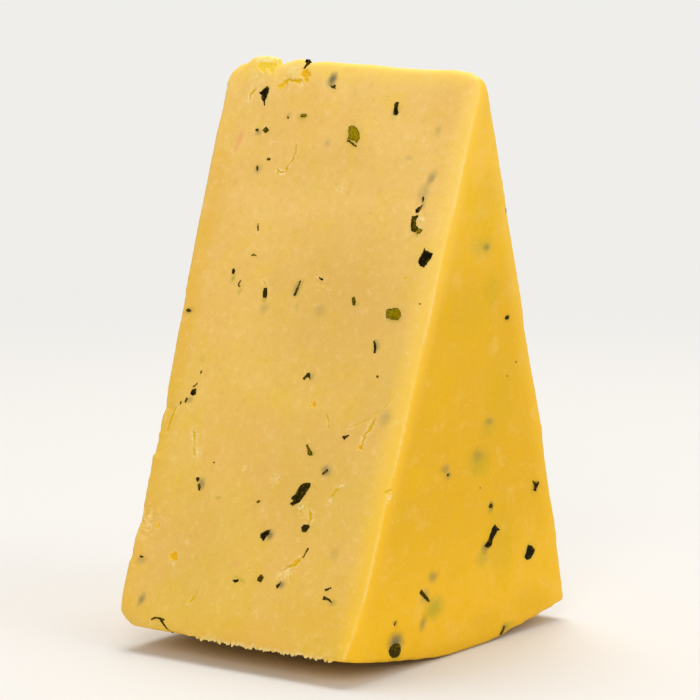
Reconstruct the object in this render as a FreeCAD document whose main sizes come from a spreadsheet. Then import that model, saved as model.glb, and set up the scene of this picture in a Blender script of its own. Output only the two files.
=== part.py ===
"""A tall wedge of Double Gloucester with chives, cut from a round wheel and stood on its rind.

Everything is in millimetres.  +X runs along the wheel's axis, +Y points to the back and +Z is
up.  The origin is the middle of the foot, on the surface that the wedge stands on.

The wedge is a sector of a wheel about 24 cm across and 6 cm thick.  The wheel's axis is the thin
edge at the top, the two sloping faces are the knife's cuts, the two upright ends are the wheel's
flat faces, and the foot is a stretch of its round side, pressed flat where it carries the weight.
It is made as the real one is: first the sector, then its ends, then the wear along its edges.
"""
import FreeCAD, Part

import os

import Sketcher
from FreeCAD import Vector

NODE = "cheese_wedge"

# Driving dimensions: alias, value in millimetres, meaning.
DIMENSIONS = [
    ("apex_y", 1.9, "how far the wheel's axis stands behind the middle of the foot"),
    ("apex_height", 120.2, "height of the axis, where the two cuts would meet"),
    ("top_height_left", 119.3, "height of the worn top edge at its left end"),
    ("top_height_right", 117.6, "height of the worn top edge at its right end"),
    ("front_foot_y", 39.1, "how far the front cut's foot stands before the middle"),
    ("front_foot_height", 5.3, "height of the front cut's foot, which overhangs"),
    ("back_foot_y", 39.1, "how far the back cut's foot stands behind the middle"),
    ("back_foot_height", 3.9, "height of the back cut's foot"),
    ("back_cut_radius", 2100.0, "radius of the back cut, which swells a little"),
    ("rest_front_y", 3.5, "front end of the strip pressed flat, before the middle"),
    ("rest_back_y", 10.5, "back end of the strip pressed flat, behind the middle"),
    ("rind_radius", 400.0, "radius of the rind on both sides of the flat strip"),
    ("blank_thickness", 76.0, "thickness of the blank that the ends are cut from"),
    ("blank_height", 130.0, "height of that blank"),
    ("blank_margin", 5.0, "how far below the foot the end cuts start"),
    ("end_top_left", 32.13, "left end's distance from the middle, at the top edge"),
    ("end_top_right", 32.12, "right end's distance from the middle, at the top edge"),
    ("end_foot_left", 29.8, "left end's distance from the middle, at the foot"),
    ("end_foot_right", 28.1, "right end's distance from the middle, at the foot"),
    ("corner_left", 4.5, "radius of the upper left corner, seen from the front"),
    ("corner_right", 3.5, "radius of the upper right corner"),
    ("rest_blend", 30.0, "radius that leads the flat strip into the rind"),
    ("rim_left", 3.0, "rounding of the wheel's rim at the left end"),
    ("rim_right", 0.6, "rounding of the wheel's rim at the right end"),
    ("worn_edge", 0.4, "rounding of both cuts' edges, all the way round"),
]
VALUE = {alias: value for alias, value, meaning in DIMENSIONS}
START, END = 1, 2            # the two ends of a sketch line or arc
ORIGIN = (-1, 1)             # a sketch's own origin, as its constraints name it


def make_sheet(doc):
    """The spreadsheet of driving dimensions, one row each."""
    sheet = doc.addObject("Spreadsheet::Sheet", "dimensions")
    for row, (alias, value, meaning) in enumerate(DIMENSIONS, start=1):
        sheet.set(f"A{row}", meaning)
        sheet.set(f"B{row}", str(value))
        sheet.setAlias(f"B{row}", alias)
    return sheet


def add_sketch(body, name, role):
    """A sketch on the one of the body's origin planes that has this role."""
    sketch = body.newObject("Sketcher::SketchObject", name)
    plane = next(part for part in body.Origin.OriginFeatures if part.Role == role)
    sketch.AttachmentSupport = [(plane, "")]
    sketch.MapMode = "FlatFace"
    return sketch


def bind(sketch, kind, elements, alias):
    """A dimension of the sketch that reads its size from the sheet."""
    index = sketch.addConstraint(Sketcher.Constraint(kind, *elements, VALUE[alias]))
    sketch.setExpression(f"Constraints[{index}]", f"dimensions.{alias}")


def place(sketch, corner, direction, aliases):
    """Fix a corner's two coordinates; each direction is the side of the origin it lies on."""
    for kind, side, alias in zip(("DistanceX", "DistanceY"), direction, aliases):
        if side > 0:
            bind(sketch, kind, (*ORIGIN, *corner), alias)
        elif side < 0:
            bind(sketch, kind, (*corner, *ORIGIN), alias)
        else:
            sketch.addConstraint(Sketcher.Constraint("PointOnObject", *corner, -1))


def swollen_side(start, end, radius):
    """An arc from start to end that swells to the left of that direction."""
    chord = end - start
    rise = radius - (radius ** 2 - (chord.Length / 2) ** 2) ** 0.5
    left = Vector(-chord.y, chord.x, 0).normalize()
    return Part.Arc(start, (start + end) * 0.5 + left * rise, end)


def add_outline(sketch, corners, radii):
    """A closed clockwise outline, fixed to the sheet.

    Each corner is (directions, aliases) as place takes them, and each side from a corner to the
    next is straight, or swells outwards by the radius that its alias in radii names.
    """
    points = [
        Vector(*(side * VALUE[alias] if side else 0 for side, alias in zip(*corner)), 0)
        for corner in corners
    ]
    sides = []
    for index, alias in enumerate(radii):
        start, end = points[index], points[(index + 1) % len(points)]
        side = swollen_side(start, end, VALUE[alias]) if alias else Part.LineSegment(start, end)
        sides.append(sketch.addGeometry(side))
        if alias:
            bind(sketch, "Radius", (sides[index],), alias)
    for index, (point, corner) in enumerate(zip(points, corners)):
        meeting = [
            (side, min((START, END), key=lambda end: (sketch.getPoint(side, end) - point).Length))
            for side in (sides[index - 1], sides[index])
        ]
        sketch.addConstraint(Sketcher.Constraint("Coincident", *meeting[0], *meeting[1]))
        place(sketch, meeting[1], *corner)


def cut_sector(body):
    """The sector across the wheel's axis: two cuts, and the rind with its flat strip."""
    sketch = add_sketch(body, "sector_outline", "YZ_Plane")
    corners = [
        ((-1, 1), ("front_foot_y", "front_foot_height")),
        ((1, 1), ("apex_y", "apex_height")),
        ((1, 1), ("back_foot_y", "back_foot_height")),
        ((1, 0), ("rest_back_y", None)),
        ((-1, 0), ("rest_front_y", None)),
    ]
    add_outline(sketch, corners, [None, "back_cut_radius", "rind_radius", None, "rind_radius"])
    pad = body.newObject("PartDesign::Pad", "sector")
    pad.Profile = sketch
    pad.SideType = "Symmetric"
    pad.setExpression("Length", "dimensions.blank_thickness")
    return pad


def cut_ends(body):
    """The wheel's flat faces and the worn top edge, cut along the outline seen from the front."""
    sketch = add_sketch(body, "front_outline", "XZ_Plane")
    corners = [
        ((-1, -1), ("blank_thickness", "blank_margin")),
        ((-1, 1), ("blank_thickness", "blank_height")),
        ((1, 1), ("blank_thickness", "blank_height")),
        ((1, -1), ("blank_thickness", "blank_margin")),
        ((1, -1), ("end_foot_right", "blank_margin")),
        ((1, 1), ("end_top_right", "top_height_right")),
        ((-1, 1), ("end_top_left", "top_height_left")),
        ((-1, -1), ("end_foot_left", "blank_margin")),
    ]
    add_outline(sketch, corners, [None] * len(corners))
    pocket = body.newObject("PartDesign::Pocket", "ends_and_top")
    pocket.Profile = sketch
    pocket.Type = "ThroughAll"
    pocket.SideType = "Symmetric"
    return pocket


def face_at(shape, probe):
    """The face that this point lies on, or lies nearest to."""
    return min(shape.Faces, key=lambda face: face.distToShape(Part.Vertex(probe))[0])


def edge_names(shape, edges):
    """The names that a feature knows these edges by."""
    return [
        f"Edge{number}" for number, edge in enumerate(shape.Edges, start=1)
        if any(edge.isSame(wanted) for wanted in edges)
    ]


def shared(first, second):
    """The edges that two faces share."""
    return [edge for edge in first.Edges if any(edge.isSame(other) for other in second.Edges)]


def wear_edges(body):
    """Round the edges as handling and drying have, the widest rounds first.

    A probe point on or near each face tells the faces apart.  The last round runs along both
    sides of each cut, over the top and, because the rims lead on smoothly, along the foot too.
    """
    middle_height = VALUE["apex_height"] / 2
    probes = {
        "front cut": Vector(0, -VALUE["front_foot_y"] / 2, middle_height),
        "back cut": Vector(0, VALUE["back_foot_y"] / 2, middle_height),
        "left end": Vector(-VALUE["end_top_left"], VALUE["apex_y"], middle_height),
        "right end": Vector(VALUE["end_top_right"], VALUE["apex_y"], middle_height),
        "top": Vector(0, VALUE["apex_y"], VALUE["top_height_left"]),
        "front rind": Vector(0, -VALUE["front_foot_y"] / 2, 0),
        "rest": Vector(0, 0, 0),
        "back rind": Vector(0, VALUE["back_foot_y"] / 2, 0),
    }
    rind = ("front rind", "rest", "back rind")
    cuts = ("front cut", "back cut")
    rounds = [
        ("top_corner_left", "corner_left", [("left end", "top")]),
        ("top_corner_right", "corner_right", [("right end", "top")]),
        ("rest_blends", "rest_blend", [("rest", "front rind"), ("rest", "back rind")]),
        ("left_rim", "rim_left", [("left end", face) for face in rind]),
        ("right_rim", "rim_right", [("right end", face) for face in rind]),
        ("worn_edges", "worn_edge", [(cut, face) for cut in cuts
                                     for face in ("left end", "top", "right end")]),
    ]
    for name, alias, pairs in rounds:
        before = body.Tip
        faces = {face: face_at(before.Shape, probe) for face, probe in probes.items()}
        edges = [edge for first, second in pairs for edge in shared(faces[first], faces[second])]
        fillet = body.newObject("PartDesign::Fillet", name)
        fillet.Base = (before, edge_names(before.Shape, edges))
        fillet.setExpression("Radius", f"dimensions.{alias}")
        body.Document.recompute()


def check(doc, body):
    """Stop before anything is written if an object failed or the wedge isn't one sound solid."""
    failed = [item.Name for item in doc.Objects if {"Invalid", "Error"} & set(item.State)]
    if failed:
        raise RuntimeError(f"failed objects: {failed}")
    shape = body.Shape
    if shape.isNull() or not shape.isValid() or len(shape.Solids) != 1:
        raise RuntimeError(f"{body.Label} is not one valid solid")


def main():
    doc = FreeCAD.newDocument("double_gloucester")
    make_sheet(doc)
    body = doc.addObject("PartDesign::Body", NODE)
    body.Label = NODE
    doc.recompute()

    sector = cut_sector(body)
    doc.recompute()
    ends = cut_ends(body)
    doc.recompute()
    if not ends.Shape.Volume < sector.Shape.Volume:
        raise RuntimeError("the end cuts took nothing away")
    wear_edges(body)

    body.Placement = FreeCAD.Placement()
    doc.recompute()
    check(doc, body)

    os.makedirs("parts", exist_ok=True)
    body.Shape.exportStep(f"parts/{body.Label}.step")
    box = body.Shape.optimalBoundingBox()
    print(f"{body.Label}: {body.Shape.Volume / 1000:.1f} cm3, {len(body.Shape.Faces)} faces, "
          f"{box.XLength:.1f} x {box.YLength:.1f} x {box.ZLength:.1f} mm, "
          f"Y {box.YMin:.2f} to {box.YMax:.2f}, Z {box.ZMin:.2f} to {box.ZMax:.2f}")


main()
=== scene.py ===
"""A wedge of Double Gloucester with chives, dressed around its CAD solid.

The CAD solid gives the size and the place.  A finer copy of it gets the cheese's relief: worn
edges, a crumbled corner, cracks, pits and a ragged foot.  The chopped chives are solid flakes
and slivers pressed into its faces.  Lengths here are millimetres unless a name says otherwise.
"""

import itertools
import math

import bmesh
import bpy
import numpy as np
from mathutils import Matrix, Vector, geometry
from mathutils.bvhtree import BVHTree


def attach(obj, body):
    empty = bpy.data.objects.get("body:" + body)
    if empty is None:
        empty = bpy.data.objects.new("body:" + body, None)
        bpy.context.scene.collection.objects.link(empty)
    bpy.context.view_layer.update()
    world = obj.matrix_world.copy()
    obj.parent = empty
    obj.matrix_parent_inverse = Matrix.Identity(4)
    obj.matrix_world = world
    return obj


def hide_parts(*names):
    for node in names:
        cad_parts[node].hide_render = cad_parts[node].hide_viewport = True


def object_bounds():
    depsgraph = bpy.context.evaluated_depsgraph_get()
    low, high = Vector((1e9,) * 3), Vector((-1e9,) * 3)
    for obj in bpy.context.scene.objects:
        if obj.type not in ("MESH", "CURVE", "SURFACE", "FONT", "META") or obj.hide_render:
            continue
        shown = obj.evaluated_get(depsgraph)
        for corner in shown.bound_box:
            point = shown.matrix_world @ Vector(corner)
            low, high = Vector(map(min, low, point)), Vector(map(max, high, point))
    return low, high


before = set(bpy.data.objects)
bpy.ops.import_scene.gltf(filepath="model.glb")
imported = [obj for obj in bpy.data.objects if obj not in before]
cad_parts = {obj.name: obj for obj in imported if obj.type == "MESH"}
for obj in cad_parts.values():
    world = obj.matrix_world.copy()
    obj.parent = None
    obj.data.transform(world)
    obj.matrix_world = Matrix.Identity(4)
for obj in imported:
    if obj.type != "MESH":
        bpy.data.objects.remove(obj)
CAD_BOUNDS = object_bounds()

MM = 0.001
NODE = "cheese_wedge"
BODY = "root"
LOWEST, HIGHEST = (np.array(corner) / MM for corner in CAD_BOUNDS)
TOP = HIGHEST[2]

# --- the copy's mesh ---
VOXEL = 0.8  # spacing of the copy's points before it is made finer
WEAR_STEPS = 3  # smoothing steps that round the sharp edges
WEAR = 0.5  # how far each step moves a point towards its neighbours' middle
WEAR_AT_FOOT = 0.3  # how much of that wear the foot's edges get
WEAR_HEIGHTS = (2.0, 22.0)  # between these heights the wear grows to its full amount
FINER_STEPS = 3  # how often the mesh is made finer
FINER_WEAR = 0.35  # how much it is smoothed each time
PLAIN = 1.6  # the spacing wanted where nothing calls for a finer one
FINE_EDGE = 0.45  # along the edges
FINE_GHOST = 0.55  # in the small tinted spots
FINE_CRUMBLED = 0.34  # in the crumbled places
FINE_TORN = 0.22  # in the torn corner
FINE_CRACK = 0.17  # in the cracks, the pits and the fringe
LONG = 1.35  # a mesh edge longer than this many spacings is cut in two
EDGE_BAND = 1.1  # how far the finer mesh reaches from an edge
TORN_CORNER = (-18.5, 9.0, 2.5)  # its middle x, half its width, how far down it reaches
BROAD_SPOT = 2.5  # tinted spots with larger half sizes need no finer mesh

# --- the worn top edge, (x, height) along it, from left to right ---
TOP_LINE = (
    (-32, 115.5), (-31.4, 115.95), (-30.5, 116.55), (-29.7, 117), (-28.9, 117.25), (-28, 117.4),
    (-27.2, 117.55), (-26.4, 118.15), (-25.6, 118.7), (-24.3, 118.95), (-22.9, 119.05),
    (-21.6, 119), (-20.3, 118.85), (-19.1, 118.6), (-18.8, 117.9), (-18.3, 117.15),
    (-17.4, 117.75), (-16.4, 118), (-15.1, 118.4), (-13.8, 118.6), (-12.6, 118.55),
    (-12.1, 118.1), (-11.1, 117.95), (-10.2, 117.95), (-9.2, 118.15), (-6.8, 118.25),
    (-4.8, 118.15), (-2.4, 118), (0.2, 117.95), (3.3, 118), (11.2, 117.55), (17.1, 117.45),
    (24.9, 117.65), (28.7, 117.2), (30.6, 116.45), (32, 114.9),
)
TOP_REACH = 9.0  # how far down the wedge the correction of its top fades out
TOP_SEARCH = 12.0  # the top edge is looked for this far down

# --- the standing edges, (v, how far they are worn in) ---
# The front's left edge, the back's right edge, and the ridge: how far it is worn in along the
# front's normal, and near the foot along the right end's.
LEFT_LINE = (
    (0, 0.2), (3.7, 0.03), (5.3, 0.1), (8, 0.1), (10.4, 0.22), (13, 0.1), (16, -0.05), (27, 0.05),
    (58, 0.2), (66, 0.35), (70, 0.45), (73, 0.75), (74.4, 0.95), (76.3, 0.6), (78.4, 0.6),
    (79.2, 0.75), (80, 0.54), (81.2, 0.75), (84, 0.62), (84.8, 0.2), (87.8, 0.4), (90, 0.3),
    (97, 0.4), (98.6, 0.32), (100.2, -0.03), (102.3, -0.3), (103.7, -0.27), (105.7, -0.1),
    (107, -0.45), (112, -0.5), (115, -0.4), (117, -0.15), (118.5, 0.7), (119.6, 1.5),
)
RIGHT_LINE = (
    (0, 0), (6, 0), (12, 0.2), (20, 0.3), (50, 0.15), (66, 0.1), (80, -0.3), (92, 0), (102, -0.2),
    (118, 0),
)
RIDGE_LINE = (
    (0, 0), (4, 0.8), (36, 0.8), (48, 1), (60, 1.1), (74, 1.1), (86, 0.85), (100, 0.8),
    (110, 0.6), (114, 0.3), (117, 0),
)
RIDGE_FOOT = (
    (108, 0), (114, 0.2), (117, 0.7), (119.6, 1.1),
)
LINE_REACH = 6.0  # how far from the edge those changes fade out
RIDGE_REACH = 5.0  # and from the ridge, the edge between the front and the right


# --- small tools ---
def rng(seed):
    """A seeded source of random numbers, so that every run gives the same wedge."""
    return np.random.default_rng(seed)


def ease(value, low, high):
    """0 below low, 1 above high, and a smooth step between them; low may be above high."""
    part = np.clip((np.asarray(value, float) - low) / (high - low), 0.0, 1.0)
    return part * part * (3.0 - 2.0 * part)


class Noise:
    """Smooth random values from -1 to 1 over space, with bumps of about one size."""

    CELLS = 24  # the values repeat after so many bumps

    def __init__(self, seed, size):
        self.values = rng(seed).uniform(-1.0, 1.0, (self.CELLS,) * 3)
        self.size = size

    def __call__(self, points):
        spot = points / self.size
        cell = np.floor(spot).astype(int)
        part = spot - cell
        part = part * part * (3.0 - 2.0 * part)
        total = np.zeros(len(points))
        for corner in np.ndindex(2, 2, 2):
            share = np.prod(np.where(corner, part, 1.0 - part), axis=1)
            index = (cell + corner) % self.CELLS
            total += share * self.values[index[:, 0], index[:, 1], index[:, 2]]
        return total


def to_route(spots, route):
    """How far each spot (u, v) is from a route, and how far along the route it lies, 0 to 1."""
    lengths = np.linalg.norm(np.diff(route, axis=0), axis=1)
    starts = np.concatenate([[0.0], np.cumsum(lengths)])
    nearest = np.full(len(spots), np.inf)
    along = np.zeros(len(spots))
    for index, length in enumerate(lengths):
        ahead = (route[index + 1] - route[index]) / length
        offset = spots - route[index]
        part = np.clip(offset @ ahead, 0.0, length)
        distance = np.linalg.norm(offset - part[:, None] * ahead, axis=1)
        closer = distance < nearest
        nearest[closer] = distance[closer]
        along[closer] = (starts[index] + part[closer]) / starts[-1]
    return nearest, along


def closed(outline):
    """An outline with its first point once more at its end."""
    return np.vstack([outline, outline[:1]])


def to_outline(spots, outline):
    """Signed distance of each spot (u, v) from a closed outline, positive inside it."""
    distance, _ = to_route(spots, closed(outline))
    inside = np.zeros(len(spots), bool)
    for one, two in zip(outline, np.roll(outline, -1, axis=0)):
        crosses = (one[1] > spots[:, 1]) != (two[1] > spots[:, 1])
        rise = two[1] - one[1] if two[1] != one[1] else 1.0
        at = one[0] + (spots[:, 1] - one[1]) * (two[0] - one[0]) / rise
        inside ^= crosses & (spots[:, 0] < at)
    return np.where(inside, distance, -distance)


def turned(spots, lean):
    """Spots (u, v) turned by lean degrees, clockwise as the face is looked at."""
    angle = math.radians(lean)
    turn = np.array([[math.cos(angle), math.sin(angle)], [-math.sin(angle), math.cos(angle)]])
    return spots @ turn


def to_oval(spots, u, v, wide, tall, lean=0.0):
    """How far each spot (u, v) is from the middle of an oval, 1 on the oval itself."""
    return np.hypot(*(turned(spots - (u, v), -lean) / (wide, tall)).T)


def in_box(spots, shape, margin):
    """Whether each spot (u, v) lies within a margin of a shape's box."""
    low, high = np.min(shape, axis=0) - margin, np.max(shape, axis=0) + margin
    return np.all((spots > low) & (spots < high), axis=1)


def cross_of(corners):
    """The cross product of two sides of each triangle, from its three corners."""
    return np.cross(corners[:, 1] - corners[:, 0], corners[:, 2] - corners[:, 0])


def rows_with_lines(rows, count):
    """Rows of some numbers and then the places of a line, as the line and then those numbers."""
    return [(np.reshape(row[count:], (-1, 2)).astype(float), *row[:count]) for row in rows]


def new_object(name, data):
    """An object that has joined the scene."""
    made = bpy.data.objects.new(name, data)
    bpy.context.scene.collection.objects.link(made)
    return made


# --- the wedge's flat sides ---
def cad_facets():
    """Centres, normals and areas of the CAD solid's triangles."""
    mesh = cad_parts[NODE].data
    mesh.calc_loop_triangles()
    points = np.array([vertex.co for vertex in mesh.vertices]) / MM
    corners = points[np.array([triangle.vertices for triangle in mesh.loop_triangles])]
    cross = cross_of(corners)
    double = np.linalg.norm(cross, axis=1)
    kept = double > 1e-9
    return corners[kept].mean(1), cross[kept] / double[kept, None], double[kept] / 2


CAD_FACETS = cad_facets()
APEX_Y = 1.9  # where the top edge stands over the foot
FACET_SPREAD = 4.0  # degrees by which a side's facets may differ


class Side:
    """A side of the wedge: u runs to the right and v down on it, and w stands out of it.

    u starts near the middle of the wedge, shifted to the right by a little, and v starts just
    under the level of the top edge.
    """

    def __init__(self, outwards, up=(0.0, 0.0, 1.0), shift=0.0):
        corners, normals, areas = CAD_FACETS
        facing = normals @ np.array(outwards) > math.cos(math.radians(FACET_SPREAD))
        weight = areas[facing][:, None]
        self.normal = (normals[facing] * weight).sum(0)
        self.normal /= np.linalg.norm(self.normal)
        centre = (corners[facing] * weight).sum(0) / weight.sum()
        self.right = np.cross(up, self.normal)
        self.right /= np.linalg.norm(self.right)
        self.down = np.cross(self.right, self.normal)
        start = np.array((0.0, APEX_Y, TOP - 1.0)) if up[2] else np.zeros(3)
        self.origin = start + self.normal * ((centre - start) @ self.normal)
        if up[2]:
            self.origin += self.down * ((start[2] - self.origin[2]) / self.down[2])
        self.origin += self.right * shift
        self.axes = np.array([self.right, self.down, self.normal])

    def local(self, points):
        """Points of the wedge's frame as (u, v, w)."""
        return (points - self.origin) @ self.axes.T

    def world(self, local):
        """Points (u, v, w) in the wedge's frame."""
        return self.origin + np.asarray(local) @ self.axes


FRONT = Side((0.0, -0.942, 0.336), shift=0.65)
BACK = Side((0.0, 0.953, 0.305))
RIGHT = Side((1.0, 0.0, -0.033), shift=0.3)
LEFT = Side((-1.0, 0.0, -0.019))
RIND = Side((0.0, 0.0, -1.0), up=(0.0, 1.0, 0.0))
CUTS = (FRONT, BACK)  # cut through the wheel
SKINS = (RIGHT, LEFT, RIND)  # the wheel's own faces


# --- marks on the faces: places (u, v) read off each face ---
# Chive flakes with a shape of their own: the tone, 0 black to 1 olive, and then the outline, u
# and v by turns.
FRONT_FLAKES = (
    (0.02, -21, 5.5, -20.4, 5.9, -20.4, 7.4, -20.8, 8.6, -21.4, 8.7, -22, 8, -22, 7.5, -22.8, 7.1,
     -21.9, 6.3),
    (0.25, -19.9, 15, -19.2, 14.1, -18.1, 14.9, -18.9, 15.6),
    (0.05, 11.7, 8, 12.2, 7.6, 12.8, 7.7, 12.8, 9, 13.2, 9.8, 12.8, 10.4, 12, 10.4, 11.9, 9),
    (0.85, 1.7, 13.3, 2.2, 13, 3, 13, 3.9, 13.6, 4.7, 14.4, 5, 15.5, 4.6, 16.6, 3.8, 16.1, 2.8,
     15.9, 1.9, 15.9, 2.2, 15.2, 1.9, 14.4),
    (0.05, 23.5, 28.3, 23.3, 29.2, 22.8, 30, 22.2, 30, 22, 29.4, 22.7, 28.8),
    (0.22, 21.5, 30.8, 22.3, 30.6, 22.9, 30.4, 22.8, 31.1, 22.6, 31.8, 23, 32.6, 23.6, 33.1, 23.3,
     34, 22.1, 33.9, 21.6, 32.3),
    (0.75, 23.4, 33.3, 24.2, 33.2, 24.7, 33.5, 24.2, 34.1, 23.4, 34.3),
    (0.03, 25.9, 36.9, 26.3, 37.4, 27.9, 37.9, 27.6, 39, 27, 40.2, 26.6, 40.9, 25.8, 40.7, 25.1,
     39.9, 25.2, 39.1, 25.7, 38.1),
    (0.04, -11.1, 47.9, -10.4, 47.7, -10, 48.6, -9.9, 49.9, -10.8, 49.8, -11.2, 48.8),
    (0.7, 19.9, 49.9, 21, 49.7, 22.4, 49.4, 23.4, 50.1, 23.7, 51, 23, 51.9, 21.6, 51.8, 20.2,
     51.5),
    (0.1, 3.1, 65.5, 3.9, 64.3, 4.5, 64, 4.8, 64.8, 5.1, 65.6, 4.2, 65, 3.6, 65.8),
    (0.03, -24, 70.2, -22.9, 69.9, -22.6, 71.1, -23.5, 71.5, -24.1, 71.1),
    (0.12, 15.6, 76, 16.5, 75.8, 17, 75.5, 17.3, 75.7, 16.6, 76.3, 16.2, 76.8),
    (0.4, 7.2, 78.6, 7.7, 78.5, 9, 79.7, 9.4, 80.5, 8.7, 80.7, 8.2, 80.4, 7.9, 79.6),
    (0.05, 8.9, 86.1, 10.3, 86, 10.4, 86.5, 10, 87.5, 9.5, 88.4, 9.1, 89.1, 8.5, 90.1, 7.1, 91,
     6.4, 90.8, 6.3, 90.5, 7.2, 89.9, 6.3, 89.6, 6.4, 89.3, 7.2, 88.6, 7.5, 87.6, 8, 86.6),
    (0.02, 10.2, 94.9, 10.7, 94.3, 11.8, 94.2, 12.2, 94.7, 11.9, 95.2, 11.6, 95.7, 11, 95.9, 10.4,
     95.6),
    (0.04, 1.6, 96.7, 2.8, 96.2, 2.8, 97.2, 2.1, 97.9, 1.8, 98.7, 1.4, 98.7, 1.2, 98.3, 0.7, 98.2,
     0.6, 97.4),
    (0.08, -3.9, 107.3, -2.3, 107, -2.4, 107.5, -3.2, 107.8),
    (0.22, 2.2, 106, 2.9, 105.2, 3.7, 105.9, 3.2, 106.9, 2.2, 106.7),
    (0.04, -13, -0.5, -12.6, -0.6, -11.9, -0.6, -11.5, -0.1, -11.7, 0.6, -12.1, 1, -12.4, 1.5,
     -12.8, 1.6, -12.6, 0.8, -12.5, 0.3, -12.9, -0.2),
    (0.04, -5.1, 4.7, -4.4, 4.9, -3.9, 4.6, -3.5, 4.9, -3.7, 5.2, -3.4, 5.6, -4.2, 5.4, -4.8,
     5.2),
    (0.1, 7, 106.9, 7.7, 106.6, 8, 106, 7.9, 107, 7.5, 107.5, 7.1, 107.4),
)
RIGHT_FLAKES = (
    (0.1, 9.6, 50.6, 10.4, 50.4, 11.2, 50.7, 11.1, 51.2, 10.2, 51.3, 9.7, 51.1),
    (0.08, 6.9, 88.6, 7.7, 89.4, 7.3, 89.8, 6.1, 89.6, 6.2, 89.1),
    (0, 21.1, 99.7, 22.6, 100.1, 23.9, 101.3, 23.5, 101.9, 22.4, 102.9, 20.9, 102.9, 19.9, 102.2,
     20.5, 101.3),
    (0.1, -28, 112.8, -27.5, 112.1, -26.6, 111.8, -25.6, 111.8, -24.5, 112.1, -23.9, 112.7, -23.8,
     113.8, -24.4, 114.6, -25.6, 114.8, -26.9, 114.4, -27.7, 113.7),
    (0.02, 8.5, 93.3, 9.4, 94.1, 10.5, 94.8, 9.4, 95, 8.7, 95.6, 7.9, 96.5, 7.6, 97.5, 6.2, 98,
     4.8, 97.3, 6.1, 96.4, 6.8, 95.3, 7.4, 94.2),
)
# Small chips: (u, v, width, height, tone), and how many degrees they lean where they do.
FRONT_CHIPS = (
    (-21.2, 15, 0.8, 0.6, 0.3), (-14, 12, 0.5, 0.4, 0.6), (-10.2, 11.5, 1.6, 0.95, 0.85, -8),
    (-19.1, 23.1, 0.55, 1.2, 0.05, -12), (-16.7, 21, 0.9, 0.65, 0.35),
    (23.3, 27.2, 0.45, 1.3, 0.1, -6), (-19.7, 44.9, 0.8, 1.3, 0.03, -15),
    (11.6, 48.7, 1, 1.9, 0.35, -22), (-29.3, 53.9, 1.5, 0.75, 0.2, 5),
    (27.2, 48.1, 0.4, 0.35, 0.7), (21, 63.4, 0.6, 0.5, 0.3), (-22.5, 66.4, 0.4, 0.7, 0.8, -10),
    (-24.8, 72.5, 0.6, 1.1, 0.15, 25), (-26.1, 73.2, 0.45, 0.7, 0.95),
    (-17.7, 88.3, 0.8, 1, 0.15), (-16.9, 89.8, 0.65, 1.4, 0.2, -15),
    (-1.4, 91.1, 0.9, 0.5, 0.6, -22), (-14.5, 84.5, 0.4, 0.35, 0.7),
    (-27.8, 105.5, 0.9, 0.45, 0.25, 5),
)
RIGHT_CHIPS = (
    (9.2, 29, 0.5, 1, 0.2), (14.3, 60.5, 0.45, 0.5, 0.5), (11.2, 63, 0.4, 0.4, 0.6),
    (-9.1, 80.5, 0.8, 0.5, 0.55), (2.7, 84.9, 0.4, 0.25, 0.9),
)
# Slivers: the width at the start and at the end, the tone, and then the line.
FRONT_SLIVERS = (
    (0.4, 0.25, 0.25, -21, 8.5, -20.7, 9.7),
    (0.4, 0.3, 0.35, 2, 16.2, 2.6, 16.3, 3.6, 16.8, 4.6, 17.3),
    (0.3, 0.35, 0.35, -16, 34.6, -15.6, 36.1),
    (0.4, 0.2, 0.4, -16, 41.4, -15.5, 41.1, -14.7, 41.35),
    (0.3, 0.35, 0.5, -17.4, 46.7, -17.7, 47.7, -17.3, 48.1),
    (0.35, 0.55, 0.08, -2.3, 45.7, -2.6, 47.3, -3, 48.9), (0.35, 0.4, 0.15, 2.1, 44.7, 3.1, 45.2),
    (0.45, 0.5, 0.06, 18.5, 56.4, 19, 57.6, 19.2, 58.8), (0.25, 0.3, 1, -22.8, 68.8, -23.8, 69.7),
    (0.35, 0.45, 0.15, 12.7, 84, 13.8, 83),
    (0.4, 0.25, 0.65, 12.9, 98.8, 12.6, 99.6, 12.1, 100.9),
    (0.5, 0.3, 0.25, 18.9, 106.5, 20.2, 105.8),
    (0.7, 0.3, 0.2, 18.8, 108, 20.2, 108.1, 21, 108.6),
    (0.3, 0.45, 0.15, -22, 117.8, -21.5, 117.4, -20.8, 117.2, -19.7, 117.3, -18.7, 117.4),
    (0.5, 0.3, 0.15, -19.6, 117.5, -19, 118, -18.1, 118.7, -17.7, 119.1),
    (0.2, 0.15, 0.35, -17.6, 119.1, -17, 119.4, -16.4, 119.6),
)
RIGHT_SLIVERS = (
    (0.4, 0.8, 0.02, 22.1, 86.4, 22.8, 87, 23.3, 87.8),
    (0.6, 0.8, 0.02, 24.5, 86.9, 24, 87.4, 23.4, 87.9),
    (0.4, 1, 0.05, 23.4, 86.6, 23.4, 87.7, 23.1, 88.6),
    (0.3, 0.4, 0.5, -25.6, 107.3, -26, 107.6, -26.3, 108),
    (1, 0.6, 0.1, -17.6, 102.7, -15.8, 104.2, -14.2, 105.4),
    (0.7, 1.1, 0.25, 13.4, 115.6, 12.9, 116.6, 12.2, 117.4),
)
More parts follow.
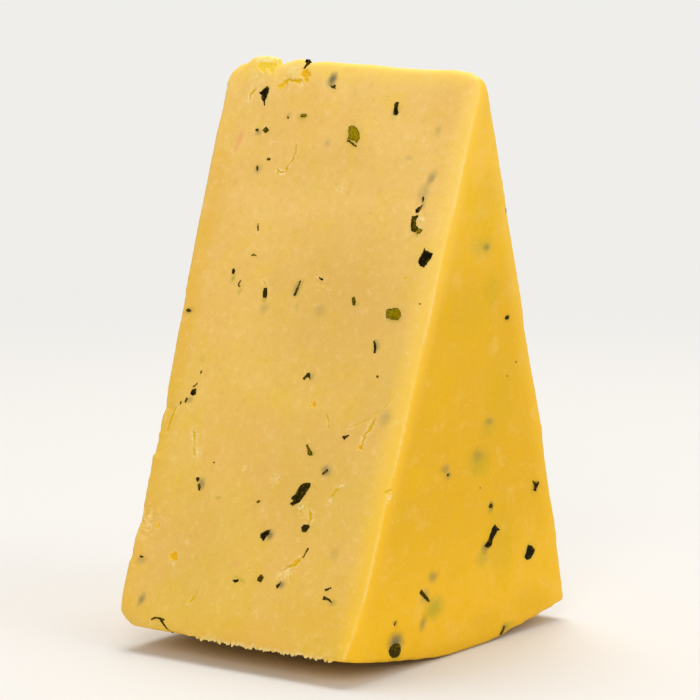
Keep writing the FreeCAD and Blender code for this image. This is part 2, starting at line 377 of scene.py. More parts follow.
# Cracks: the width, the depth, how pale and raised the lip is, and then the line.
FRONT_CRACKS = (
    (0.8, 0.18, 0.6, -23.6, 6.1, -24.4, 6.9, -24.9, 7.6, -24.8, 8.7),
    (0.8, 0.2, 0.38, -17, 4.2, -16, 3.9, -14.5, 4.1, -12.7, 3.9),
    (0.29, 0.09, 0.22, -16.2, 4.2, -15.9, 5.6, -16.3, 6.5),
    (0.57, 0.22, 0.6, -10.4, 17.7, -10.3, 19, -10.6, 20.6, -11.3, 22.1, -11.9, 23.4, -12.8, 23.6,
     -13.6, 23.4, -14.2, 23),
    (0.29, 0.09, 0.15, -14, 23.5, -13.9, 24.2), (0.29, 0.05, 0.38, 0.9, 25, 1.8, 25.9, 4, 26.8),
    (0.34, 0.13, 0.45, -11.8, 46.4, -11.2, 46.9, -10.7, 47.5),
    (0.29, 0.08, 0.38, 1.3, 44.1, 2.1, 44.6),
    (0.4, 0.16, 0.22, 10.9, 72.3, 11.4, 72.8, 11.6, 73.4, 11.7, 74.8),
    (0.85, 0.23, 0.45, 22.7, 71.5, 22.2, 72.8, 21.7, 73.6, 21.4, 74.5, 20.9, 75.2, 20.7, 76.5,
     20.5, 77.8),
    (0.29, 0.07, 0.22, 16.6, 74.1, 18.7, 73.3, 20.5, 72.2, 22.2, 71.3),
    (0.29, 0.07, 0.3, 22.1, 70.9, 23.1, 70.1, 24, 69.7, 24.7, 68.4),
    (0.46, 0.16, 0.45, -21.7, 78.7, -20.9, 79.4, -20.2, 79.5),
    (0.29, 0.08, 0.22, 10.4, 86, 11.2, 86.6, 12, 87.6),
    (0.46, 0.16, 0.7, 18, 86, 17.4, 86.5, 16.6, 86.9, 16.1, 87.5, 15.6, 88.1),
    (0.69, 0.22, 0.6, 11.1, 91.4, 11.6, 92, 11.9, 92.8, 11.9, 93.9),
    (0.63, 0.23, 0.6, 11.7, 100.9, 11.1, 101.7, 10.5, 102.3, 9.4, 102.8, 7.9, 103.7),
    (0.34, 0.08, 0.22, 9.5, 104, 9.8, 104.8, 10.2, 106),
    (0.34, 0.16, 0.53, 27.6, 85.8, 28.4, 85.1, 29.6, 84.9),
    (0.29, 0.07, 0.22, 1.6, 87, 1.3, 88.6),
    (0.34, 0.07, 0.22, 24.6, 66.8, 24.9, 67.9, 24.5, 69.2),
    (0.52, 0.16, 0.45, -13.6, 113.4, -12.9, 112.6, -12.4, 112, -11.6, 110.8),
    (0.34, 0.12, 0.45, -21.2, 77.9, -20.9, 79.6, -20.4, 81.6, -19.9, 83.6),
    (0.6, 0.12, 0.5, -27.3, 74.2, -27.9, 77, -28.3, 79.4),
)
RIGHT_CRACKS = (
    (0.16, 0.03, 0.05, -28, 85.9, -18, 86.6, 2, 88.3, 14, 88.7),
    (0.16, 0.03, 0.05, 5.5, 20, 7.5, 33), (0.16, 0.03, 0.05, 8, 22, 7, 30, 4, 36),
)
# Pits: the depth, the tint of the ground, and then the outline.
FRONT_PITS = (
    (0.3, "lemon", -24.6, 0.7, -22.8, 0.4, -20.4, 0.5, -19.2, 1, -20, 1.5, -20.2, 2.3, -20.9, 2.6,
     -21.7, 1.9, -22.5, 2.1, -23.2, 2.2, -24.4, 1.4),
    (0.3, "lemon", -25, 1.2, -23.8, 1.4, -22.6, 1.9, -22.3, 2.4, -23, 2.8, -24.2, 1.9),
    (0.3, "lemon", -21.9, 1.5, -20.4, 1.3, -20.2, 2.5, -20.7, 3, -21.2, 2.6),
    (0.25, "deep", -12.6, 1.7, -11.8, 1.4, -11.3, 2.2, -10.8, 2, -10.5, 2.9, -11.2, 3.3, -10.8,
     3.7, -11.1, 4.5, -11.7, 4.4, -12, 3.5, -13.1, 3, -12.8, 2.2),
    (0.18, "deep", -18.7, 5.2, -17.4, 4.8, -16.4, 3.8, -15.7, 3.9, -16.3, 4.9, -17.4, 6.1),
    (0.18, "deep", -14.7, 3.9, -12.7, 3.7, -12.8, 4.6, -13.8, 4.7, -14.3, 4.3),
    (0.3, "deep", 5.9, 70.8, 6.8, 70.3, 7.1, 69.4, 7.5, 69.9, 7.5, 70.9, 6.7, 70.7),
    (0.2, "deep", 22.2, 43.4, 22.8, 42.9, 23, 42.6, 23.4, 43.6),
    (0.3, "deep", 19.8, 77.6, 20.5, 77.3, 21, 77.7, 20.7, 78.2, 19.9, 78.2),
    (0.35, "deep", -20.8, 104.1, -20, 103.8, -19.8, 103.2, -19.1, 103.6, -18.8, 104.3, -18.6,
     105.1, -19.5, 105.3, -20.1, 105.2, -20.6, 104.7),
    (0.2, "deep", -13.5, 112.7, -12.8, 112.2, -12.5, 112.7, -12.9, 113.1),
    (0.2, "deep", -25.7, 99.3, -25.3, 98.1, -24.9, 98.4, -25.2, 99.3),
    (0.3, "deep", 9.9, 102.5, 10.2, 101.6, 11, 101, 11.6, 101.3, 10.9, 102.6, 10.2, 103.1),
    (0.12, "deep", -0.9, 104.5, -0.2, 104.1, 0.1, 104.5, -0.3, 104.8),
)
# Crumbled cheese: (u, v, half width, half height, amount).
FRONT_TORN = (
    (-22.8, 1, 3.6, 2, 0.05), (-15.5, 3.6, 3.4, 1, 0.06), (-12.2, 3, 1.5, 2.2, 0.08),
    (-28.6, 75.6, 1.5, 2.6, 0.12), (-28.2, 98.6, 2.2, 3.4, 0.12), (9, 104, 2.2, 1.2, 0.1),
    (10.4, 92, 2, 1.2, 0.1), (-16.8, 101, 1.2, 1.2, 0.06), (1.8, 86.6, 1.2, 0.9, 0.05),
    (28.9, 86.3, 1.1, 1.4, 0.18), (-20.8, 80, 1.4, 1.4, 0.06), (23.8, 31, 1.2, 1.2, 0.1),
    (3, 46.3, 1.6, 1.2, 0.05), (-17, 40.6, 1, 0.8, 0.05),
)
# Tinted spots: (u, v, half width, half height, strength), and the lean.  A ghost is a chive just
# under the surface, a stain is green let out by a chive below, and dusk is a duller patch.
FRONT_SPOTS = {
    "ghost": (
        (-4.8, 3.6, 1.2, 1.5, 0.9, 15), (-20.8, 15.4, 0.9, 0.7, 0.55), (-14, 11.7, 0.6, 0.7, 0.3),
        (-2.7, 17, 0.9, 0.9, 0.25), (23.5, 13, 0.8, 1.1, 0.25), (24.1, 22.8, 1, 1.7, 0.5, 20),
        (23.2, 26, 1.5, 2.4, 0.3), (23.6, 28.2, 0.8, 1, 0.35), (17.8, 19, 1.1, 0.6, 0.2),
        (-19, 23.4, 1, 1.1, 0.3), (-2.6, 47.2, 0.9, 2, 0.5, 12), (4, 51.5, 1.6, 1.5, 0.2),
        (-10, 52, 1.2, 1.3, 0.25), (19.2, 57.4, 0.9, 1.5, 0.5, -15), (5.1, 64.8, 0.7, 0.9, 0.4),
        (24.8, 71.2, 1.4, 1.8, 0.28), (-24, 72.4, 1, 0.8, 0.4), (13.5, 83.2, 1.4, 1.1, 0.55, 30),
        (-16.5, 89, 0.9, 1.3, 0.6, -15), (3, 97.3, 1, 1.2, 0.7), (19.3, 99.3, 1.2, 1.5, 0.16, 20),
        (8.2, 106.7, 1.1, 0.9, 0.7, -25), (-27.6, 106.3, 1.3, 1, 0.35),
        (21.2, 108.7, 1, 0.6, 0.4), (-25.5, 114, 0.7, 1.4, 0.65, 10), (-29, 54, 1.2, 0.8, 0.3),
        (12.4, 9.6, 1.1, 1.6, 0.25),
    ),
    "stain": (
        (-19.5, 46.3, 0.5, 1, 0.8, -10), (-17.1, 49, 0.4, 0.8, 0.5, -10),
        (-10.4, 50.3, 0.7, 0.6, 0.6), (3.2, 15.2, 1.9, 2, 0.4), (22, 51.2, 2.2, 1.4, 0.4),
        (-2, 107, 2, 0.4, 0.4, 18), (-22.7, 63.7, 0.7, 0.9, 0.3), (-1.9, 51.2, 0.8, 0.9, 0.2),
        (-11.7, 91.5, 0.5, 0.4, 0.5), (8.8, 90.9, 0.5, 0.5, 0.6), (23.4, 34.3, 0.8, 0.4, 0.6),
        (-10.4, 11.7, 1.3, 0.9, 0.4), (9.2, 80.3, 0.6, 0.6, 0.5), (12.5, 49.4, 0.5, 0.4, 0.5),
    ),
    "pale": (
        (-26.6, 19.4, 0.5, 0.4, 0.45), (23.9, 31.2, 1, 0.8, 0.8), (5, 47, 0.9, 0.5, 0.3, -20),
        (9, 91, 0.8, 0.8, 0.9), (15.8, 89, 0.5, 0.9, 0.8), (9.2, 103.9, 1.3, 0.8, 0.9, 25),
        (7.8, 105, 1.4, 1, 0.55), (-19.1, 82.8, 0.8, 1.4, 0.6, -20), (-6.5, 84.9, 0.4, 0.9, 0.7),
        (1.6, 86, 1.6, 1.1, 0.4), (-28, 99.6, 0.9, 0.6, 0.6, -30), (-27.9, 96.8, 0.6, 1.2, 0.5),
        (-17, 101.3, 0.8, 0.7, 0.4), (-19.8, 105.9, 1, 0.5, 0.5), (28.9, 86.4, 0.9, 1.1, 1),
        (-24.7, 3.6, 1.2, 0.8, 0.4), (-14.5, 3.2, 1.5, 0.5, 0.6), (-12.6, 4.9, 0.8, 0.4, 0.6),
        (12, 91.6, 0.8, 0.5, 0.5), (-20.5, 80.6, 1, 0.6, 0.4), (-22.8, -0.4, 3.2, 1, 0.9),
        (-15.6, 1.4, 3, 1.6, 0.5), (-23, 4.6, 1.6, 0.6, 0.3, -30),
    ),
    "dusk": (
        (8, 50, 20, 22, 0.5), (10, 84, 18, 16, 0.4), (-14, 100, 12, 14, 0.25),
        (-20, 12, 9, 8, 0.2), (22, 66, 8, 22, 0.35, 15), (0, 23, 24, 7, 0.25),
    ),
    "golden": (
        (-29.5, 60, 3.4, 56, 0.36), (0, 117, 26, 3, 0.2), (6.6, 7.6, 0.35, 0.8, 0.6, -10),
        (-13.9, 8, 0.6, 1.4, 0.3, 5), (-9, 6.5, 1.5, 2.5, 0.12), (-28.5, 70, 1, 4, 0.3, 8),
        (20, 113, 12, 6, 0.25),
    ),
    "bruise": (
        (-25.2, 17, 0.8, 2.2, 0.9, 8), (-25.8, 19.2, 0.8, 0.6, 0.7), (-4, 104, 0.8, 0.4, 0.8),
    ),
}
RIGHT_SPOTS = {
    "ghost": (
        (1.9, 35.8, 1.5, 0.6, 0.6), (5, 71.5, 1.9, 0.9, 0.4), (1.2, 78.2, 2.6, 1.4, 0.25),
        (-10, 79.2, 1.8, 1.1, 0.4), (-9, 80.6, 1.2, 0.8, 0.5), (6.8, 89.2, 1.1, 1, 0.45),
        (23.2, 87.8, 1.6, 1.1, 0.55, -15), (5.4, 97.6, 1.7, 1.1, 0.6, 15),
        (9, 94.8, 1.4, 0.8, 0.45, -20), (-15.8, 104, 1.9, 1.2, 0.4, -40),
        (-13.2, 100.6, 1.8, 1.2, 0.45), (-16.3, 109.6, 1.1, 1.7, 0.5, 35),
        (-25.5, 111.6, 2.7, 2.1, 0.9), (13.6, 116, 1.4, 0.9, 0.5, 15),
        (21.5, 101.3, 2.4, 1.9, 0.3), (10.4, 50.9, 1.2, 0.8, 0.4), (-26, 107.7, 1, 0.6, 0.4, 20),
    ),
    "stain": (
        (0.5, 35.5, 4.5, 2.6, 0.3), (2, 79.5, 4.5, 3.5, 0.4), (5, 73, 3.5, 2.5, 0.25),
        (4.8, 99.6, 3, 2.2, 0.4), (-12.5, 107, 3.8, 2.6, 0.6), (6.8, 90.2, 1.2, 0.8, 0.6),
        (-25.5, 115, 2.5, 1.2, 0.4), (14.8, 116, 2.5, 1, 0.4), (4, 45, 4, 4, 0.18),
        (9, 67, 6, 10, 0.12), (11, 97, 6, 8, 0.18), (1, 27, 6, 8, 0.12), (-4, 48, 8, 6, 0.1),
    ),
    "golden": (
        (-20, 80, 6, 3.4, 0.8), (2, 81.5, 5, 4, 0.6), (6.5, 113.5, 7, 3, 0.6, 10),
        (-13, 62, 7, 9, 0.6), (-2, 52, 9, 8, 0.45), (-22, 96, 6, 7, 0.15), (8, 66, 6, 8, 0.45),
        (24, 112, 9, 4, 0.7, 10), (0, 36, 10, 7, 0.35), (3, 92, 9, 8, 0.3),
        (0.2, 8.3, 3.5, 6, 0.35), (3.3, 24.4, 5, 5, 0.4), (-6, 47.6, 8, 5, 0.3),
        (5.3, 81.6, 4, 4, 0.4), (16, 65.5, 3, 7, 0.4),
    ),
}
# Loose crumbs: (u, v, half width, half height, how many, their size).
FRONT_CRUMBS = (
    (-23, 2.8, 2.8, 0.6, 7, 0.4), (-15.8, 3.6, 3, 0.8, 9, 0.36), (-12.2, 3.9, 1.2, 1, 7, 0.36),
    (-28.7, 75.8, 0.8, 2.2, 7, 0.32), (-28.3, 98.6, 1, 2.4, 9, 0.32),
    (9.2, 103.6, 1.6, 0.9, 10, 0.3), (10.6, 91.6, 1.6, 0.9, 9, 0.28), (9, 91, 0.5, 0.5, 4, 0.36),
    (-16.9, 101.2, 0.8, 0.7, 3, 0.3), (23.9, 31.2, 0.8, 0.7, 7, 0.32),
    (28.9, 86.4, 0.7, 0.9, 9, 0.36), (6, 119.8, 17, 0.2, 45, 0.28),
    (-20.2, 105.9, 0.9, 0.4, 5, 0.28), (15.8, 88.8, 0.4, 0.8, 4, 0.28),
    (-6.5, 84.9, 0.3, 0.8, 3, 0.26),
)


# --- the finer copy of the CAD surface ---
def even_mesh():
    """The CAD surface as an evenly spaced mesh: points and triangles."""
    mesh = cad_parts[NODE].data.copy()
    mesh.transform(Matrix.Scale(1 / MM, 4))
    draft = new_object("draft", mesh)
    remesh = draft.modifiers.new("even", "REMESH")
    remesh.mode = "VOXEL"
    remesh.voxel_size = VOXEL
    graph = bpy.context.evaluated_depsgraph_get()
    even = bpy.data.meshes.new_from_object(draft.evaluated_get(graph))
    points = np.empty(len(even.vertices) * 3)
    even.vertices.foreach_get("co", points)
    even.calc_loop_triangles()
    triangles = np.empty(len(even.loop_triangles) * 3, int)
    even.loop_triangles.foreach_get("vertices", triangles)
    bpy.data.objects.remove(draft)
    bpy.data.meshes.remove(mesh)
    bpy.data.meshes.remove(even)
    return points.reshape(-1, 3), triangles.reshape(-1, 3)


def edges_of(triangles):
    """Each edge once, as two point numbers, and the edge of each triangle's three sides."""
    sides = np.stack([triangles, np.roll(triangles, -1, axis=1)], axis=2).reshape(-1, 2)
    sides.sort(axis=1)
    span = sides.max() + 1
    keys, number = np.unique(sides[:, 0] * span + sides[:, 1], return_inverse=True)
    return np.stack([keys // span, keys % span], axis=1), number.reshape(-1, 3)


def worn(points, triangles, steps, amount):
    """The points after each has moved towards its neighbours' middle, less so near the foot."""
    edges, _ = edges_of(triangles)
    ends = np.concatenate([edges, edges[:, ::-1]])
    count = np.bincount(ends[:, 0], minlength=len(points))
    share = WEAR_AT_FOOT + (1.0 - WEAR_AT_FOOT) * ease(points[:, 2:], *WEAR_HEIGHTS)
    for _ in range(steps):
        total = [np.bincount(ends[:, 0], values, len(points)) for values in points[ends[:, 1]].T]
        points = points + amount * share * (np.stack(total, axis=1) / count[:, None] - points)
    return points


def refined(points, triangles, spacing):
    """The mesh after each edge longer than the spacing wanted at its middle is cut in two."""
    edges, number = edges_of(triangles)
    ends = points[edges]
    middles = ends.mean(axis=1)
    cut = np.linalg.norm(ends[:, 0] - ends[:, 1], axis=1) > LONG * spacing(middles)
    fresh = np.full(len(edges), -1)
    fresh[cut] = len(points) + np.arange(cut.sum())
    points = np.vstack([points, middles[cut]])
    made = fresh[number]
    cuts = (made >= 0).sum(axis=1)
    result = [triangles[cuts == 0].T]

    def facing(wanted, test):
        """The triangles with so many cut sides, turned until the test fits their first side."""
        chosen, sides = triangles[cuts == wanted], made[cuts == wanted]
        for _ in range(2):
            wrong = ~test(sides)
            chosen[wrong] = np.roll(chosen[wrong], -1, axis=1)
            sides[wrong] = np.roll(sides[wrong], -1, axis=1)
        return (*chosen.T, *sides.T)

    a, b, c, ab, _, _ = facing(1, lambda sides: sides[:, 0] >= 0)
    result += [(a, ab, c), (ab, b, c)]
    a, b, c, ab, bc, _ = facing(2, lambda sides: sides[:, 2] < 0)
    result += [(a, ab, c), (ab, b, bc), (ab, bc, c)]
    a, b, c, ab, bc, ca = facing(3, lambda sides: sides[:, 0] >= 0)
    result += [(a, ab, ca), (ab, b, bc), (bc, c, ca), (ab, bc, ca)]
    return points, np.hstack(result).T


def point_normals(points, triangles):
    """The surface's normal at each point."""
    total = [np.bincount(triangles.ravel(), np.repeat(values, 3), len(points))
             for values in cross_of(points[triangles]).T]
    normals = np.stack(total, axis=1)
    return normals / np.maximum(np.linalg.norm(normals, axis=1), 1e-12)[:, None]


def edge_distance(points):
    """How far each point is from the nearest edge of the wedge, about."""
    depths = np.sort(np.abs(np.stack([side.local(points)[:, 2] for side in CUTS + SKINS])), axis=0)
    return depths[1]


def along_line(points, step):
    """Points spaced about evenly along a line of them."""
    result = []
    for one, two in zip(points[:-1], points[1:]):
        count = max(1, math.ceil(np.linalg.norm(two - one) / step))
        result.extend(one + (two - one) * index / count for index in range(count))
    return np.array(result + [points[-1]])


# --- marks: what each side bears ---
SIDE_REACH = 6.0  # a side's points lie this near its plane
SIDE_FACING = 0.35  # and face this much its way
EDGE_MARGIN = 4.0  # strewn marks keep this far from the edges
STREWN_GAP = 3.2  # and from each other
HAIRLINE_GAP = 2.0  # hairline cracks keep this far apart
FRONT_HAIRLINES = 45
STREWN = (  # side, seed, then how many flakes, chips, slivers, ghosts and cracks
    (BACK, 41, 17, 20, 14, 18, 14), (LEFT, 42, 6, 8, 6, 11, 2), (RIND, 43, 4, 7, 4, 9, 3),
)


def chip_outline(generator, centre, width, height, lean=0.0):
    """The uneven outline of a chopped bit of chive of about a size."""
    count = 5 + generator.integers(2)
    angles = (np.arange(count) + generator.uniform(-0.28, 0.28, count)) * math.tau / count
    reach = generator.uniform(0.85, 1.15, count)
    ring = np.column_stack([np.cos(angles) * width, np.sin(angles) * height]) * 0.55
    return turned(ring * reach[:, None], lean) + centre


LEAF = ((-1.0, 1.0), (-0.4, 0.8), (0.3, 1.0), (1.0, 0.7), (1.1, 0.0), (0.9, -0.8), (0.2, -1.0),
        (-0.5, -0.7), (-0.9, -1.0), (-0.8, -0.4), (-1.15, 0.2))  # in half lengths and widths


def leaf_outline(generator, centre, length, width, lean):
    """The outline of a slanting, torn length of chive leaf."""
    ring = np.array(LEAF) * (length, width) / 2
    ring += generator.normal(0.0, 0.08, ring.shape) * length / 2
    ring[:, 0] += generator.uniform(-0.6, 0.6) * ring[:, 1]
    ring[:, 1] += generator.uniform(-0.12, 0.12) * ring[:, 0] ** 2
    return turned(ring, lean) + centre


def ribbon_outline(route, start, end):
    """The outline of a sliver along a line, with its width at the line's start and end."""
    route = along_line(route, 0.5)
    ahead = np.gradient(route, axis=0)
    ahead /= np.linalg.norm(ahead, axis=1)[:, None]
    across = np.column_stack([-ahead[:, 1], ahead[:, 0]])
    half = np.linspace(start, end, len(route))[:, None] / 2
    return np.vstack([route + across * half, (route - across * half)[::-1]])


class Marks:
    """The chives, cracks, pits and tints of one side."""

    def __init__(self, side, seed, flakes, chips, slivers, cracks, spots, pits=(), torn=()):
        generator = rng(seed)
        self.side = side
        self.flakes = list(flakes)
        for u, v, width, height, tone, *lean in chips:
            self.flakes.append((chip_outline(generator, (u, v), width, height, *lean), tone))
        self.slivers = [(ribbon_outline(route, start, end), tone)
                        for route, start, end, tone in slivers]
        self.cracks, self.spots, self.pits, self.torn = cracks, spots, pits, torn


def free_places(points, normals, side, generator, count, gap):
    """Places (u, v) on a side, away from its edges and at least a gap apart."""
    local = side.local(points)
    inner = (np.abs(local[:, 2]) < SIDE_REACH) & (normals @ side.normal > 0.9)
    inner = local[inner & (edge_distance(points) > EDGE_MARGIN)]
    chosen = []
    for spot in inner[generator.permutation(len(inner)), :2]:
        if all(np.hypot(*(spot - other)) > gap for other in chosen):
            chosen.append(spot)
        if len(chosen) == count:
            break
    return chosen


def bent_line(generator, place, length, bend, lean):
    """A line of three points through a place."""
    corners = ((-length / 2, 0.0), (0.0, generator.uniform(-bend, bend)), (length / 2, 0.0))
    return turned(np.array(corners), lean()) + place


def fine_cracks(points, normals, side, seed, count):
    """Short hairline cracks strewn over a side: each one's line, width, depth and lip."""
    generator = rng(seed)
    draw = generator.uniform
    cracks = []
    for place in free_places(points, normals, side, generator, count, HAIRLINE_GAP):
        length = draw(0.5, 2.4)
        route = bent_line(generator, place, length, 0.25, lambda: draw(-90.0, 90.0))
        cracks.append((route, draw(0.12, 0.26), draw(0.01, 0.05), draw(0.0, 0.35)))
    return cracks


def scattered(points, normals, side, seed, *counts):
    """Marks strewn over a side: so many flakes, chips, slivers, ghosts and cracks."""
    generator = rng(seed)
    draw = generator.uniform
    places = free_places(points, normals, side, generator, sum(counts), STREWN_GAP)
    starts = np.cumsum(counts[:-1])
    for_flakes, for_chips, for_slivers, for_ghosts, for_cracks = np.split(places, starts)

    def lean():
        return draw(-90.0, 90.0)

    def leaning(low, high):
        """A number from low to high, and before it is drawn, a lean."""
        turn = lean()
        return draw(low, high), turn

    flakes = []
    for place in for_flakes:
        outline = leaf_outline(generator, place, draw(1.6, 3.8), draw(0.9, 1.7), lean())
        tone = generator.choice([0.03, 0.06, 0.35, 0.8], p=[0.4, 0.25, 0.2, 0.15])
        flakes.append((outline, tone))
    chips = [(*place, draw(0.4, 1.3), draw(0.4, 0.8), *leaning(0.05, 0.6)) for place in for_chips]
    slivers = [(bent_line(generator, place, draw(1.2, 3.4), 0.5, lean), draw(0.3, 0.6),
                draw(0.25, 0.4), draw(0.05, 0.5)) for place in for_slivers]
    ghosts = [(*place, draw(0.7, 1.6), draw(0.6, 1.2), *leaning(0.3, 0.7)) for place in for_ghosts]
    ghosts += [(*place, 1.2, 1.0, 0.3) for place in np.vstack([for_chips, for_slivers])[::2]]
    stains = [(*place, 1.8, 1.4, 0.35, lean()) for place in for_flakes[::3]]
    cracks = [(bent_line(generator, place, draw(1.5, 6.0), 1.2, lean), draw(0.25, 0.5),
               draw(0.06, 0.18), 0.3) for place in for_cracks]
    cracks += fine_cracks(points, normals, side, seed + 10, 2 * counts[-1])
    torn = [(*place, 1.6, 1.2, 0.10) for place in for_cracks[::3]]
    spots = {"ghost": ghosts, "stain": stains}
    return Marks(side, seed, flakes, chips, slivers, cracks, spots, torn=torn)


def spacing_for(every_mark):
    """A function that gives the spacing that the mesh should have at some points."""

    def spacing(points):
        wanted = np.full(len(points), PLAIN)
        wanted[edge_distance(points) < EDGE_BAND] = FINE_EDGE
        wanted[fringe_share(points) > 0.01] = FINE_CRACK
        middle, half, down = TORN_CORNER
        torn = (points[:, 2] > TOP - down) & (np.abs(points[:, 0] - middle) < half)
        wanted[torn] = FINE_TORN

        def refine(chosen, size):
            wanted[chosen] = np.minimum(wanted[chosen], size)

        def refine_near(line, reach, size):
            """Asks for a size within reach of a line."""
            inside = np.flatnonzero(in_box(spots, line, reach))
            distance, _ = to_route(spots[inside], line)
            refine(near[inside[distance < reach]], size)

        for marks in every_mark:
            local = marks.side.local(points)
            near = np.flatnonzero(np.abs(local[:, 2]) < SIDE_REACH)
            spots = local[near, :2]
            for u, v, wide, tall, *_ in itertools.chain(*marks.spots.values()):
                if max(wide, tall) < BROAD_SPOT:
                    diagonal = np.array([(u - wide, v - tall), (u + wide, v + tall)])
                    refine_near(diagonal, 0.4 * min(wide, tall), FINE_GHOST)
            for route, width, *_ in marks.cracks:
                refine_near(route, 0.35 + width / 2, FINE_CRACK)
            for outline, *_ in marks.pits:
                refine_near(closed(outline), 0.7, FINE_CRACK)
            for *oval, _ in marks.torn:
                refine(near[to_oval(spots, *oval) < 1.3], FINE_CRUMBLED)
        return wanted

    return spacing


# --- the relief ---
TINTS = ("skin", "rim", "band", "ghost", "stain", "deep", "lemon", "cleft", "pale", "dusk", "golden",
         "bruise")
RAGGED = Noise(5, 0.45)  # makes the outlines of cracks and pits ragged
CRUMBLY = Noise(6, 0.75)  # makes torn cheese lumpy
STRAY = (Noise(7, 0.8), Noise(8, 0.8))  # makes cracks stray from their line
PATCHY = Noise(9, 1.3)  # makes their pale lips patchy
CRACK_STRAY = 0.22  # how far a crack strays
CRACK_RAGGED = 0.08  # how ragged its sides are
PIT_RAGGED = 0.14  # and a pit's outline
LIP_HEIGHT = 0.10  # how far a full lip stands up
LIP_MIDDLE = 0.3  # how far from the crack's side its crest is


def facets(points, size, seed):
    """Broken lumps of about a size: each has its own height, from -1 to 1, and its own tilt."""
    cell = np.floor(points / size).astype(int)
    nearest = np.full(len(points), np.inf)
    height = np.zeros(len(points))
    table = rng(seed).uniform(-1.0, 1.0, (16, 16, 16, 7))
    for step in np.ndindex(3, 3, 3):
        other = cell + step - 1
        values = table[tuple((other % 16).T)]
        offset = points / size - (other + 0.5 + 0.45 * values[:, :3])
        distance = (offset ** 2).sum(axis=1)
        closer = distance < nearest
        nearest[closer] = distance[closer]
        height[closer] = (0.6 * values[:, 6] + (offset * values[:, 3:6]).sum(axis=1))[closer]
    return height


class Surface:
    """The wedge's surface while it is worked: its mesh, how deep each point is pressed, and tints."""

    def __init__(self, points, triangles):
        self.points, self.triangles = points, triangles
        self.normals = point_normals(points, triangles)
        self.depth = np.zeros(len(points))
        self.tints = {name: np.zeros(len(points)) for name in TINTS}
        self.places = {}

    def around(self, side, shape, margin):
        """The points of a side near a shape, and where they lie on the side and in space."""
        if side not in self.places:
            local = side.local(self.points)
            facing = self.normals @ side.normal > SIDE_FACING
            near = np.flatnonzero((np.abs(local[:, 2]) < SIDE_REACH) & facing)
            self.places[side] = near, local[near, :2]
        near, spots = self.places[side]
        chosen = in_box(spots, shape, margin)
        return near[chosen], spots[chosen], self.points[near[chosen]]

    def tint(self, name, points, amount):
        """Raises a tint of some points to an amount."""
        self.tints[name][points] = np.maximum(self.tints[name][points], amount)

    def press(self, points, depth):
        """Presses some points in to a depth."""
        self.depth[points] = np.maximum(self.depth[points], depth)

    def crack(self, side, route, width, depth, lip):
        """Cuts a ragged crack along a line, with a patchy pale lip."""
        near, spots, places = self.around(side, route, width + 1.5)
        stray = np.column_stack([noise(places) for noise in STRAY])
        distance, along = to_route(spots + CRACK_STRAY * stray, route)
        half = 0.5 * width * (0.35 + 0.65 * np.sin(math.pi * np.clip(along, 0.04, 0.96)))
        half = half * (1.0 + 0.7 * PATCHY(places * 1.7))
        distance = distance + CRACK_RAGGED * RAGGED(places)
        patch = lip * ease(PATCHY(places), -0.25, 0.45)
        self.press(near, depth * ease(distance, half + 0.05, 0.0))
        crest = ease(np.abs(distance - half - LIP_MIDDLE), 0.25, 0.0)
        self.depth[near] -= LIP_HEIGHT * patch * crest
        self.tint("cleft", near, ease(distance, half + 0.06, half * 0.3) * min(1.0, depth / 0.1))
        self.tint("pale", near, patch * ease(distance, half + 0.7, half + 0.1))

    def pit(self, side, outline, depth, name):
        """Sinks a ragged pit with lumpy, tinted ground inside an outline."""
        near, spots, places = self.around(side, outline, 1.5)
        inside = to_outline(spots, outline) + PIT_RAGGED * RAGGED(places)
        self.press(near, depth * (1.0 + 0.35 * CRUMBLY(places * 1.6)) * ease(inside, -0.12, 0.35))
        self.tint(name, near, ease(inside, -0.18, 0.08))
        self.tint("pale", near, 0.25 * ease(inside, -0.5, -0.1))

    def spot(self, side, name, u, v, wide, tall, strength, lean=0.0):
        """Tints a soft oval spot."""
        near, spots, places = self.around(side, [(u, v)], 1.7 * max(wide, tall))
        distance = to_oval(spots, u, v, wide, tall, lean) + 0.22 * CRUMBLY(places * 0.8)
        self.tint(name, near, strength * ease(distance, 1.35, 0.2))

    def crumble(self, side, u, v, wide, tall, amount):
        """Breaks up the surface in an oval place, as torn cheese is."""
        near, spots, places = self.around(side, [(u, v)], 1.5 * max(wide, tall))
        share = ease(to_oval(spots, u, v, wide, tall) + 0.3 * CRUMBLY(places), 1.15, 0.75)
        chunks = facets(places, 1.0, 17) + 0.5 * facets(places, 0.45, 18)
        self.depth[near] += amount * share * (0.25 + chunks)
        strength = share * min(1.0, amount / 0.2)
        self.tint("deep", near, strength * 0.6 * ease(chunks, 0.25, 0.8))
        self.tint("pale", near, strength * 0.6 * ease(chunks, 0.1, -0.6))

    def bear(self, marks):
        """Works all of a side's marks into it."""
        for crack in marks.cracks:
            self.crack(marks.side, *crack)
        for pit in marks.pits:
            self.pit(marks.side, *pit)
        for name, spots in marks.spots.items():
            for spot in spots:
                self.spot(marks.side, name, *spot)
        for place in marks.torn:
            self.crumble(marks.side, *place)


